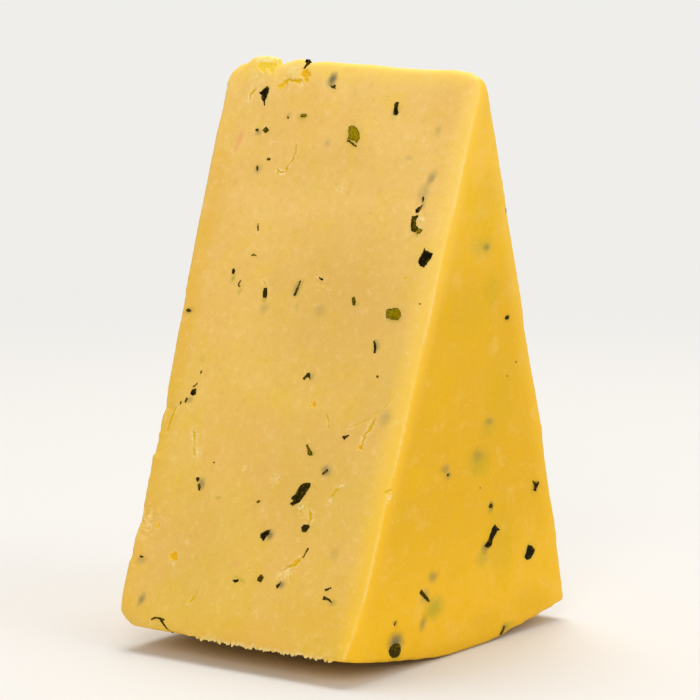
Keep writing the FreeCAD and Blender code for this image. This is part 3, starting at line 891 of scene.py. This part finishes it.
TEETH = (-12.0, 24.0)  # the stretch of the front's foot that is ragged
FOOT_EDGE = 119.6  # how far down the front its foot is
TOOTH = 0.80  # how far the teeth hang down
FRINGE = ((21, 0.85, 0.4), (22, 0.33, 0.5), (23, 0.19, 0.35))  # seed, size and strength
SWELLS = ((11, 19.0, 0.12), (12, 6.5, 0.06), (13, 1.7, 0.022))  # the same for every face's hollows
PAINTED_TOP_LIGHT = (6.5, 1.0)  # how far under the top its band of painted light from above starts and is full
PAINTED_LIGHT_FADE_LEFT = (-18.0, -28.0)  # towards the left the rims' painted highlight and the bands' painted glow fade between these x
PAINTED_LIGHT_FADE_FOOT = (5.0, 2.0)  # and towards the foot between these heights
GOLDEN_FOOT = (4.5, 1.0)  # the skin turns golden between these heights
PAINTED_RIM_WIDTH = 0.8  # how wide a worn rim with its painted highlight is on a cut
PAINTED_GLOW_WIDTH = 5.4  # how wide the band of paler cheese with a painted glow beside an edge is on a cut


def top_corrected(points):
    """The points with the top edge brought to its worn line."""
    reach = points[points[:, 2] > TOP - TOP_SEARCH]
    stations = np.arange(-31.5, 31.6, 1.0)
    heights = [reach[np.abs(reach[:, 0] - x) < 0.9, 2].max() for x in stations]
    line = np.array(TOP_LINE)
    rise = np.interp(points[:, 0], *line.T) - np.interp(points[:, 0], stations, heights)
    points = points.copy()
    points[:, 2] += rise * ease(points[:, 2], TOP - TOP_REACH, TOP - 1.0)
    return points


def edges_corrected(points):
    """The points with three of the standing edges brought to their worn lines."""
    corrections = (
        (FRONT, LEFT, LEFT_LINE, LINE_REACH, FRONT.normal + LEFT.normal),
        (BACK, RIGHT, RIGHT_LINE, LINE_REACH, BACK.normal + RIGHT.normal),
        (FRONT, RIGHT, RIDGE_LINE, RIDGE_REACH, FRONT.normal),
        (FRONT, RIGHT, RIDGE_FOOT, RIDGE_REACH, RIGHT.normal),
    )
    moved = points.copy()
    for cut, skin, line, reach, outwards in corrections:
        near_cut, near_skin = (np.abs(side.local(points)[:, 2]) for side in (cut, skin))
        share = ease(np.hypot(near_cut, near_skin), reach, 0.5)
        wear = np.interp(cut.local(points)[:, 1], *np.array(line).T)
        moved -= outwards / np.linalg.norm(outwards) * (share * wear)[:, None]
    return moved


def fringe_share(points):
    """How much of the ragged fringe under the front each point gets, 0 to 1."""
    u, v, w = FRONT.local(points).T
    share = ease(np.hypot(v - FOOT_EDGE, w), 1.1, 0.15)
    return share * ease(u, TEETH[0] - 3.0, TEETH[0] + 4.0) * ease(u, TEETH[1] + 3.0, TEETH[1] - 2.0)


def hang_teeth(surface):
    """Drags the front's foot down into a ragged fringe."""
    share = fringe_share(surface.points)
    along = surface.points * (1.0, 0.0, 0.0)
    fringe = 0.65
    for seed, size, strength in FRINGE:
        fringe = fringe + strength * Noise(seed, size)(along)
    surface.points += FRONT.down * (share * TOOTH * np.clip(fringe, 0.0, 1.3))[:, None]
    surface.tint("pale", slice(None), 0.8 * ease(share, 0.45, 0.95))


def tint_faces(surface, beside):
    """Tells the wheel's own skin from the cuts, and marks what lies beside an edge: the worn rims
    with their painted highlight, the painted glow beside them, and the painted light under the top.
    """
    points = surface.points
    facing_skin = np.max([surface.normals @ side.normal for side in SKINS], axis=0)
    facing_cut = np.max([surface.normals @ side.normal for side in CUTS], axis=0)
    # painted light from above, in a band under the top
    top = ease(points[:, 2], *(TOP - depth for depth in PAINTED_TOP_LIGHT))
    left = ease(points[:, 0], *PAINTED_LIGHT_FADE_LEFT) * ease(points[:, 2], TOP - 1.0, TOP - 8.0)
    foot = ease(points[:, 2], *PAINTED_LIGHT_FADE_FOOT)
    painted_light_share = 1.0 - np.maximum(0.85 * left, 0.75 * foot)
    skin = ease(facing_skin - facing_cut, -0.15, 0.3)
    surface.tints["skin"] = skin
    # the worn rim, with a painted highlight along it
    surface.tints["rim"] = 0.85 * ease(beside, PAINTED_RIM_WIDTH - 0.25 * skin, 0.05) * painted_light_share
    # the band of paler cheese beside each edge, with a painted glow of light through the edge
    band = 0.8 * ease(beside, PAINTED_GLOW_WIDTH + 0.6 * skin, 0.2) * painted_light_share
    surface.tints["band"] = np.maximum(band, top)
    surface.tints["golden"] = 0.8 * ease(points[:, 2], *GOLDEN_FOOT) * skin


def make_surface():
    """The wedge's surface with all its relief, and its marks."""
    points, triangles = even_mesh()
    points = worn(points, triangles, WEAR_STEPS, WEAR)
    normals = point_normals(points, triangles)
    front_cracks = rows_with_lines(FRONT_CRACKS, 3)
    front_cracks += fine_cracks(points, normals, FRONT, 33, FRONT_HAIRLINES)
    every_mark = [
        Marks(FRONT, 31, rows_with_lines(FRONT_FLAKES, 1), FRONT_CHIPS,
              rows_with_lines(FRONT_SLIVERS, 3), front_cracks, FRONT_SPOTS,
              rows_with_lines(FRONT_PITS, 2), FRONT_TORN),
        Marks(RIGHT, 32, rows_with_lines(RIGHT_FLAKES, 1), RIGHT_CHIPS,
              rows_with_lines(RIGHT_SLIVERS, 3), rows_with_lines(RIGHT_CRACKS, 3), RIGHT_SPOTS),
    ]
    for side, seed, *counts in STREWN:
        every_mark.append(scattered(points, normals, side, seed, *counts))
    spacing = spacing_for(every_mark)
    for _ in range(FINER_STEPS):
        points, triangles = refined(points, triangles, spacing)
        points = worn(points, triangles, 1, FINER_WEAR)
    surface = Surface(edges_corrected(top_corrected(points)), triangles)
    tint_faces(surface, edge_distance(points))
    for seed, size, strength in SWELLS:
        surface.depth += strength * Noise(seed, size)(surface.points)
    for marks in every_mark:
        surface.bear(marks)
    surface.points = surface.points - surface.normals * surface.depth[:, None]
    hang_teeth(surface)
    surface.points = np.clip(surface.points, LOWEST, HIGHEST)
    return surface, every_mark


# --- pieces ---
def make_piece(name, points, triangles, fields, material):
    """A mesh piece from points in millimetres; each field holds a number for each point."""
    mesh = bpy.data.meshes.new(name)
    mesh.vertices.add(len(points))
    mesh.vertices.foreach_set("co", (points * MM).ravel())
    mesh.loops.add(triangles.size)
    mesh.loops.foreach_set("vertex_index", triangles.ravel().astype(np.int32))
    mesh.polygons.add(len(triangles))
    mesh.polygons.foreach_set("loop_start", np.arange(0, triangles.size, 3, dtype=np.int32))
    for field, values in fields.items():
        layer = mesh.attributes.new(field, "FLOAT", "POINT")
        layer.data.foreach_set("value", values.astype(np.float32))
    mesh.update(calc_edges=True)
    mesh.validate()
    mesh.shade_smooth()
    mesh.materials.append(material)
    piece = new_object(name, mesh)
    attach(piece, BODY)
    return piece


class Joined:
    """Many small closed meshes gathered into one piece."""

    def __init__(self):
        self.points, self.triangles, self.fields = [], [], {}
        self.count = 0

    def add(self, points, triangles, **fields):
        """Adds a mesh; a field holds a number for each point or one for all."""
        self.points.append(points)
        self.triangles.append(triangles + self.count)
        for name, values in fields.items():
            self.fields.setdefault(name, []).append(np.broadcast_to(values, len(points)))
        self.count += len(points)

    def piece(self, name, material, slot):
        """The piece made of all that was added, kept inside the CAD box."""
        fields = {field: np.concatenate(values) for field, values in self.fields.items()}
        points = np.clip(np.vstack(self.points), LOWEST, HIGHEST)
        return make_piece(name, points, np.vstack(self.triangles), fields, material)


FLAKE_STEP = 0.24  # spacing of a flake's points
FLAKE_RAGGED = 0.045  # how ragged its outline is
FLAKE_DEEP = 0.35  # how deep it reaches into the cheese
FLAKE_PROUD = 0.045  # how far its rim stands out of the cheese
FLAKE_RISE = 0.07  # and how much further its middle does
RIBS = 10.0  # how far the phase of its ribs runs in a millimetre across it
RIB_HEIGHT = 0.02  # and how high they stand
DROP = (4.0, 12.0)  # rays start this far outside a side and reach this far


def drop_on(tree, side, spots):
    """The height w of the surface under each spot (u, v) of a side."""
    start, reach = DROP
    heights = np.full(len(spots), np.nan)
    into = Vector(-side.normal)
    for index, place in enumerate(side.world(np.column_stack([spots, np.full(len(spots), start)]))):
        _, _, _, distance = tree.ray_cast(Vector(place), into, reach)
        if distance is not None:
            heights[index] = start - distance
    usual = np.nanmedian(heights) if np.isfinite(heights).any() else 0.0
    return np.where(np.isfinite(heights), heights, usual)


def flake_outline_mesh(outline, generator):
    """A flake seen from above: its ragged rim, its points (u, v) and its triangles."""
    ring = along_line(closed(outline), FLAKE_STEP)[:-1]
    ring = ring + generator.normal(0.0, FLAKE_RAGGED, ring.shape)
    lines = (np.arange(low, high, FLAKE_STEP) for low, high in zip(ring.min(0), ring.max(0)))
    grid = np.stack(np.meshgrid(*lines), -1).reshape(-1, 2)
    grid = grid + generator.uniform(-0.05, 0.05, grid.shape)
    inner = grid[to_outline(grid, ring) > 0.45 * FLAKE_STEP] if len(grid) else grid
    count = len(ring)
    spots = [Vector(spot) for spot in (*ring, *inner)]
    sides = [(index, (index + 1) % count) for index in range(count)]
    made = geometry.delaunay_2d_cdt(spots, sides, [], 1, 1e-6, False)
    spots = np.array([tuple(spot) for spot in made[0]])
    faces = np.array([face for face in made[2] if len(face) == 3], int)
    faces = faces[to_outline(spots[faces].mean(axis=1), ring) > 0.0]
    turn = cross_of(spots[faces])
    faces[turn > 0] = faces[turn > 0][:, ::-1]
    return ring, spots, faces


def add_flake(joined, tree, side, outline, tone, generator):
    """Adds a flake of chive that follows the surface and reaches a little way into it."""
    ring, spots, faces = flake_outline_mesh(outline, generator)
    inside = np.maximum(to_outline(spots, ring), 0.0)
    across = np.linalg.svd(ring - ring.mean(axis=0), full_matrices=False)[2][1]
    ribs = np.sin(spots @ across * RIBS + generator.uniform(0.0, math.tau))
    rise = FLAKE_PROUD + FLAKE_RISE * ease(inside, 0.0, 0.5)
    rise = rise + RIB_HEIGHT * ribs * ease(inside, 0.05, 0.3)
    height = drop_on(tree, side, spots)
    upper = side.world(np.column_stack([spots, height + rise]))
    lower = side.world(np.column_stack([spots, height - FLAKE_DEEP]))
    one, two = faces_border(faces).T
    below = len(spots)
    walls = [np.column_stack([two, one, one + below]),
             np.column_stack([two, one + below, two + below])]
    triangles = np.vstack([faces, faces[:, ::-1] + below, *walls])
    rim = np.concatenate([ease(inside, 0.32, 0.0), np.ones(below)])
    tones = np.clip(tone + generator.normal(0.0, 0.03), 0.0, 1.0)
    joined.add(np.vstack([upper, lower]), triangles, tone=tones, rim=rim, rib=np.tile(ribs, 2))


def faces_border(faces):
    """The directed sides of triangles that no second triangle shares."""
    sides = np.stack([faces, np.roll(faces, -1, axis=1)], axis=2).reshape(-1, 2)
    known = {tuple(side) for side in sides}
    return np.array([side for side in sides if (side[1], side[0]) not in known])


def make_chives(tree, every_mark, material):
    """The flakes and the slivers of chive, one piece of each kind."""
    generator = rng(51)
    for name, kind in (("chive_flakes", "flakes"), ("chive_slivers", "slivers")):
        joined = Joined()
        for marks in every_mark:
            for outline, tone in getattr(marks, kind):
                add_flake(joined, tree, marks.side, outline, tone, generator)
        joined.piece(name, material, "chives")


def ball():
    """A small round mesh of radius 1."""
    made = bmesh.new()
    bmesh.ops.create_icosphere(made, subdivisions=2, radius=1.0)
    points = np.array([vertex.co for vertex in made.verts])
    triangles = np.array([[vertex.index for vertex in face.verts] for face in made.faces])
    made.free()
    return points, triangles


def make_crumbs(tree, material):
    """Crumbs of cheese that cling to the torn places and the foot."""
    generator = rng(61)
    draw = generator.uniform
    points, triangles = ball()
    joined = Joined()
    for u, v, wide, tall, count, size in FRONT_CRUMBS:
        spots = draw(-1.0, 1.0, (count, 2)) * (wide, tall) + (u, v)
        for spot, height in zip(spots, drop_on(tree, FRONT, spots)):
            radii = size * draw(0.35, 1.0) * draw(0.6, 1.2, 3) / 2
            crumb = points
            for chop in generator.normal(0.0, 1.0, (6, 3)):
                chop /= np.linalg.norm(chop)
                over = np.maximum(crumb @ chop - draw(0.35, 0.75), 0.0)
                crumb = crumb - over[:, None] * chop
            centre = FRONT.world((*spot, height + 0.15 * radii.mean()))
            joined.add(crumb * radii + centre, triangles, pale=draw(0.1, 0.9))
    joined.piece("cheese_crumbs", material, "cheese")


# --- materials ---
def colour(red, green, blue):
    """An sRGB colour, 0 to 255, as the linear one that a shader takes."""
    parts = np.array([red, green, blue]) / 255
    return (*np.where(parts < 0.04045, parts / 12.92, ((parts + 0.055) / 1.055) ** 2.4).tolist(), 1.0)


class Graph:
    """The nodes of a material or a world; an input is a number, a colour or a node's output."""

    def __init__(self, owner):
        owner.use_nodes = True
        self.owner, self.tree = owner, owner.node_tree
        self.tree.nodes.clear()

    def node(self, kind, inputs, output=0, **settings):
        node = self.tree.nodes.new("ShaderNode" + kind)
        for key, value in settings.items():
            setattr(node, key, value)
        for key, value in inputs.items():
            if isinstance(value, bpy.types.NodeSocket):
                self.tree.links.new(value, node.inputs[key])
            else:
                node.inputs[key].default_value = value
        return node.outputs[output]

    def field(self, name):
        """A number that the mesh holds for each point."""
        return self.node("Attribute", {}, "Fac", attribute_name=name)

    def place(self, stretch=(1.0, 1.0, 1.0)):
        """The place on the object in millimetres, stretched."""
        where = self.node("TexCoord", {}, "Object")
        scale = tuple(1 / MM / part for part in stretch)
        return self.node("Mapping", {"Vector": where, "Scale": scale})

    def noise(self, size, detail=2.0, stretch=(1.0, 1.0, 1.0), rough=0.5):
        """Noise with features of a size in millimetres."""
        inputs = {"Vector": self.place(stretch), "Scale": 1 / size, "Detail": detail,
                  "Roughness": rough}
        return self.node("TexNoise", inputs, "Fac")

    def remap(self, value, low, high, to_low=0.0, to_high=1.0):
        inputs = {"Value": value, "From Min": low, "From Max": high, "To Min": to_low,
                  "To Max": to_high}
        return self.node("MapRange", inputs, interpolation_type="SMOOTHSTEP")

    def math(self, operation, one, two):
        return self.node("Math", {0: one, 1: two}, operation=operation)

    def mix(self, share, first, second, blend="MIX"):
        """One colour laid over another, or multiplied with it, by a share."""
        inputs = {0: share, 6: first, 7: second}
        return self.node("Mix", inputs, 2, data_type="RGBA", blend_type=blend)

    def layered(self, ground, *layers):
        """A colour under layers: how each is laid, its noise, from, to, its most, its colour."""
        for blend, noise, low, high, most, tint in layers:
            ground = self.mix(self.remap(noise, low, high, 0.0, most), ground, tint, blend)
        return ground

    def tinted(self, ground, **tints):
        """A colour under others, each where the mesh's field of its name says."""
        for name, tint in tints.items():
            ground = self.mix(self.field(name), ground, tint)
        return ground

    def show(self, shader, kind="Material"):
        """Makes a shader the one that is seen, and gives back the material or the world."""
        output = self.tree.nodes.new("ShaderNodeOutput" + kind)
        self.tree.links.new(shader, output.inputs["Surface"])
        return self.owner

    def finish(self, **inputs):
        """The material with this surface."""
        inputs = {key.replace("_", " "): value for key, value in inputs.items()}
        return self.show(self.node("BsdfPrincipled", inputs))


CUT_PAINTED_LIGHT_TOP = colour(243, 200, 112)  # the cut faces near the top, brighter with painted light from above
CUT_PAINTED_LIGHT_LOW = colour(234, 192, 84)  # and near the rind, warmer with painted warm bounce light
CUT_PEACH = colour(236, 188, 98)  # their mottling
CUT_DUSK = colour(220, 177, 88)
SKIN_PAINTED_LIGHT_TOP = colour(246, 194, 62)  # the wheel's own faces near the top, paler with painted light from above
SKIN_PAINTED_LIGHT_LOW = colour(244, 189, 24)  # and near the foot, deeper with painted warm bounce light
SKIN_DEEP = colour(224, 170, 6)  # the deeper-coloured middle of the ends
SKIN_PALE = colour(247, 203, 76)  # their mottling
GOLDEN = colour(233, 180, 0)
LEMONY = (0.99, 1.0, 0.74, 1.0)  # multiplied with a cut's colour to turn it lemon
CREAMY = (1.02, 1.03, 1.16, 1.0)  # or creamy
SKIN_LEMONY = (1.0, 1.0, 0.3, 1.0)  # and the same for the wheel's own faces
SKIN_CREAMY = (1.0, 1.0, 1.7, 1.0)
PAINTED_GLOW_TOP = colour(250, 211, 102)  # the paler cheese with a painted glow beside a cut's edge, top and foot
PAINTED_GLOW_LOW = colour(244, 198, 50)
PAINTED_GLOW_SKIN_TOP = colour(246, 200, 72)  # the same on the wheel's own faces
PAINTED_GLOW_SKIN_LOW = colour(243, 190, 38)
PAINTED_RIM_HIGHLIGHT_TOP = colour(240, 221, 178)  # the worn edge itself, with a painted highlight along it
PAINTED_RIM_HIGHLIGHT_LOW = colour(236, 218, 170)
GHOST = colour(96, 98, 78)  # a chive under the surface
BRUISE = colour(236, 174, 104)
OLIVE = colour(166, 156, 12)  # what a chive lets out
DEEP = colour(240, 188, 28)  # the ground of pits
LEMON = colour(252, 216, 70)  # the ground of the torn corner
CLEFT = colour(224, 182, 12)  # the inside of cracks
PALE = colour(254, 232, 168)  # torn cheese and crumbs
PAINTED_LIGHT_HEIGHTS = (5.0, 118.0)  # the heights between which those colours change, from painted warm bounce light at the foot to painted light from above at the top
MIDDLE_FOOT = (8.0, 34.0)  # the ends' deeper middle fades in between these heights
MIDDLE_TOP = (98.0, 68.0)  # and out again between these


def cut_colour(graph, painted_light_rise, small):
    """The mottled colour of the faces cut through the wheel, brighter towards the top with painted
    light, and the noise of its patches.
    """
    broad = graph.noise(22.0, 2.0)
    patch = graph.noise(6.0, 3.0, rough=0.6)
    return graph.layered(
        graph.mix(painted_light_rise, CUT_PAINTED_LIGHT_LOW, CUT_PAINTED_LIGHT_TOP),
        ("MIX", broad, 0.42, 0.66, 0.6, CUT_PEACH),
        ("MULTIPLY", patch, 0.50, 0.72, 1.0, LEMONY),
        ("MULTIPLY", patch, 0.50, 0.28, 1.0, CREAMY),
        ("MULTIPLY", small, 0.50, 0.72, 0.5, CREAMY),
        ("MULTIPLY", small, 0.50, 0.28, 0.4, LEMONY),
        ("MIX", small, 0.46, 0.28, 0.30, CUT_DUSK),
    ), patch


def skin_colour(graph, painted_light_rise, height):
    """The mottled colour of the wheel's own faces, paler towards the top with painted light and
    deeper at the foot with painted warm bounce light.
    """
    patch = graph.noise(5.0, 3.0, stretch=(1.0, 1.3, 1.0), rough=0.6)
    small = graph.noise(1.5, 3.0, stretch=(1.0, 1.8, 1.0), rough=0.65)
    middle = graph.math("MULTIPLY", graph.remap(height, *MIDDLE_TOP),
                        graph.remap(height, *MIDDLE_FOOT))
    return graph.layered(
        graph.mix(graph.math("MULTIPLY", middle, 0.75), graph.mix(painted_light_rise, SKIN_PAINTED_LIGHT_LOW, SKIN_PAINTED_LIGHT_TOP),
                  SKIN_DEEP),
        ("MIX", patch, 0.50, 0.70, 0.45, GOLDEN),
        ("MIX", patch, 0.50, 0.25, 0.32, SKIN_PALE),
        ("MIX", small, 0.54, 0.76, 0.22, SKIN_PALE),
        ("MIX", small, 0.46, 0.30, 0.30, GOLDEN),
        ("MULTIPLY", patch, 0.46, 0.66, 1.0, SKIN_LEMONY),
        ("MULTIPLY", patch, 0.46, 0.28, 1.0, SKIN_CREAMY),
        ("MULTIPLY", small, 0.52, 0.70, 0.6, SKIN_CREAMY),
    )


def cheese_material():
    """Cheese: softly mottled, waxy and a little see-through, with the tints that its mesh holds; its
    colours carry painted light from above, painted warm bounce at the foot, a painted glow beside the
    edges and a painted highlight on the worn rims.
    """
    graph = Graph(bpy.data.materials.new("cheese"))
    small = graph.noise(1.7, 3.0, rough=0.65)
    specks = graph.noise(0.55, 2.0)
    torn = graph.noise(0.6, 2.0, rough=0.6)
    height = graph.node("SeparateXYZ", {"Vector": graph.place()}, "Z")
    # painted light: 0 at the foot to 1 at the top, from the colours with painted warm bounce light to
    # those with painted light from above
    painted_light_rise = graph.remap(height, *PAINTED_LIGHT_HEIGHTS)
    skin = graph.field("skin")
    cut, patch = cut_colour(graph, painted_light_rise, small)
    tinted = graph.mix(skin, cut, skin_colour(graph, painted_light_rise, height))
    # painted glow beside the edges and under the top, and the painted highlight on the worn rims
    band = graph.mix(skin, graph.mix(painted_light_rise, PAINTED_GLOW_LOW, PAINTED_GLOW_TOP),
                     graph.mix(painted_light_rise, PAINTED_GLOW_SKIN_LOW, PAINTED_GLOW_SKIN_TOP))
    # painted highlight along the worn rims, brighter towards the top
    rim = graph.mix(painted_light_rise, PAINTED_RIM_HIGHLIGHT_LOW, PAINTED_RIM_HIGHLIGHT_TOP)
    tinted = graph.tinted(tinted, dusk=CUT_DUSK, golden=GOLDEN, band=band, rim=rim)
    on_cut = graph.math("SUBTRACT", 1.1, skin)
    crumbs = graph.math("MULTIPLY", on_cut, graph.remap(small, 0.52, 0.80, 0.0, 0.20))
    tinted = graph.mix(crumbs, tinted, PALE)
    tinted = graph.layered(tinted, ("MIX", specks, 0.60, 0.80, 0.20, PALE))
    tinted = graph.tinted(tinted, bruise=BRUISE, stain=OLIVE, ghost=GHOST)
    pale = graph.math("MULTIPLY", graph.field("pale"), graph.remap(torn, 0.40, 0.56, 0.15, 1.0))
    tinted = graph.mix(pale, tinted, PALE)
    tinted = graph.tinted(tinted, lemon=LEMON, deep=DEEP, cleft=CLEFT)
    grain = graph.node("Bump", {"Height": specks, "Strength": 0.6, "Distance": 0.05 * MM})
    lumps = graph.node("Bump", {"Height": small, "Strength": 0.5, "Distance": 0.12 * MM,
                                "Normal": grain})
    return graph.finish(
        Base_Color=tinted,
        Roughness=graph.remap(patch, 0.3, 0.7, 0.42, 0.56),
        Subsurface_Weight=0.3,
        Subsurface_Radius=(1.0, 0.75, 0.3),
        Subsurface_Scale=1.8 * MM,
        Specular_IOR_Level=0.15,
        Normal=lumps,
    )


CHIVE_BLACK = colour(22, 17, 2)
CHIVE_OLIVE = colour(178, 152, 4)
CHIVE_RIM = colour(26, 18, 2)
CHIVE_FRAYED = colour(104, 90, 6)


def chive_material():
    """Chive: nearly black green to olive, ribbed along the leaf, and dark or frayed at its rim."""
    graph = Graph(bpy.data.materials.new("chive"))
    ribs = graph.noise(0.5, 2.0, stretch=(0.5, 0.5, 3.0))
    spots = graph.noise(0.6, 2.0)
    frays = graph.noise(1.1, 1.0)
    tone = graph.math("ADD", graph.field("tone"), graph.remap(spots, 0.50, 0.78, -0.03, 0.28))
    tinted = graph.layered(
        graph.mix(tone, CHIVE_BLACK, CHIVE_OLIVE),
        ("MIX", graph.field("rib"), 0.2, 0.9, 0.5, CHIVE_RIM),
        ("MIX", ribs, 0.5, 0.62, 0.4, CHIVE_RIM),
    )
    rim = graph.mix(graph.remap(frays, 0.48, 0.60), CHIVE_RIM, CHIVE_FRAYED)
    tinted = graph.mix(graph.math("MULTIPLY", graph.field("rim"), 0.8), tinted, rim)
    bump = graph.node("Bump", {"Height": ribs, "Strength": 0.5, "Distance": 0.10 * MM})
    return graph.finish(
        Base_Color=tinted,
        Roughness=graph.remap(spots, 0.3, 0.7, 0.5, 0.7),
        Specular_IOR_Level=0.03,
        Normal=bump,
    )


# --- the stage, the lights and the camera ---
BACKGROUND = colour(239, 238, 235)
FLOOR = colour(224, 221, 216)
FLOOR_RADIUS = 6000.0
FLOOR_SIDES = 96
FLOOR_LIT = (260.0, 700.0)  # where the floor's lit surface gives way to the plain background
WORLD_LIGHT = 0.48
LAMPS = (  # name, place, size, watts
    ("lamp_overhead", (-150.0, 250.0, 1300.0), 1000.0, 12.5),
    ("lamp_front", (700.0, -1300.0, 900.0), 900.0, 7.5),
    ("lamp_right", (1300.0, 100.0, 600.0), 900.0, 4.2),
)
AIM = (-1.38, 2.26, 59.2)  # what the camera looks at
YAW, PITCH = 36.17, 8.07  # from how far round to the right, and from how high, in degrees
DISTANCE = 659.2
LENS = 164.57
SENSOR = 36.0
CLIP_END = 20.0  # how far the camera sees, in metres


def floor_material():
    """A pale floor that turns into the plain background further out."""
    graph = Graph(bpy.data.materials.new("floor"))
    lit = graph.node("BsdfDiffuse", {"Color": FLOOR})
    plain = graph.node("Emission", {"Color": BACKGROUND, "Strength": 1.0})
    where = graph.node("NewGeometry", {}, "Position")
    far = graph.node("VectorMath", {0: where}, "Value", operation="LENGTH")
    share = graph.remap(far, FLOOR_LIT[0] * MM, FLOOR_LIT[1] * MM)
    return graph.show(graph.node("MixShader", {0: share, 1: lit, 2: plain}))


def make_floor():
    """A round floor under the wedge."""
    mesh = bpy.data.meshes.new("floor")
    angles = np.arange(FLOOR_SIDES) * math.tau / FLOOR_SIDES
    ring = [(math.cos(angle), math.sin(angle), 0.0) for angle in angles]
    mesh.from_pydata(np.array(ring) * FLOOR_RADIUS * MM, [], [range(FLOOR_SIDES)])
    mesh.materials.append(floor_material())
    new_object("floor", mesh)


def make_lamps():
    """Soft lamps that the camera doesn't see, each aimed at the wedge."""
    for name, place, size, watts in LAMPS:
        light = bpy.data.lights.new(name, "AREA")
        light.shape = "DISK"
        light.size = size * MM
        light.energy = watts
        lamp = new_object(name, light)
        lamp.location = Vector(place) * MM
        lamp.rotation_euler = (Vector(AIM) - Vector(place)).to_track_quat("-Z", "Y").to_euler()
        lamp.visible_camera = False


def make_world():
    """Even light from all round, and a plain background for what looks straight at it."""
    graph = Graph(bpy.data.worlds.new("world"))
    light = graph.node("Background", {"Color": (1.0, 1.0, 1.0, 1.0), "Strength": WORLD_LIGHT})
    seen = graph.node("Background", {"Color": BACKGROUND, "Strength": 1.0})
    straight = graph.node("LightPath", {}, "Is Camera Ray")
    both = graph.node("MixShader", {0: straight, 1: light, 2: seen})
    bpy.context.scene.world = graph.show(both, "World")


def make_camera():
    """The camera, to the front right and a little above."""
    view = bpy.data.cameras.new("camera")
    view.lens = LENS
    view.sensor_width = SENSOR
    view.clip_end = CLIP_END
    yaw, pitch = math.radians(YAW), math.radians(PITCH)
    level = math.cos(pitch)
    ahead = Vector((-math.sin(yaw) * level, math.cos(yaw) * level, -math.sin(pitch)))
    camera = new_object("camera", view)
    camera.location = (Vector(AIM) - ahead * DISTANCE) * MM
    camera.rotation_euler = ahead.to_track_quat("-Z", "Y").to_euler()
    bpy.context.scene.camera = camera


# --- the scene ---
surface, every_mark = make_surface()
tree = BVHTree.FromPolygons(surface.points.tolist(), surface.triangles.tolist())
cheese = cheese_material()
wedge = make_piece("cheese", surface.points, surface.triangles, surface.tints, cheese)
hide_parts(NODE)
make_chives(tree, every_mark, chive_material())
make_crumbs(tree, cheese)
make_floor()
make_lamps()
make_world()
make_camera()
bpy.context.scene.view_settings.view_transform = "Standard"
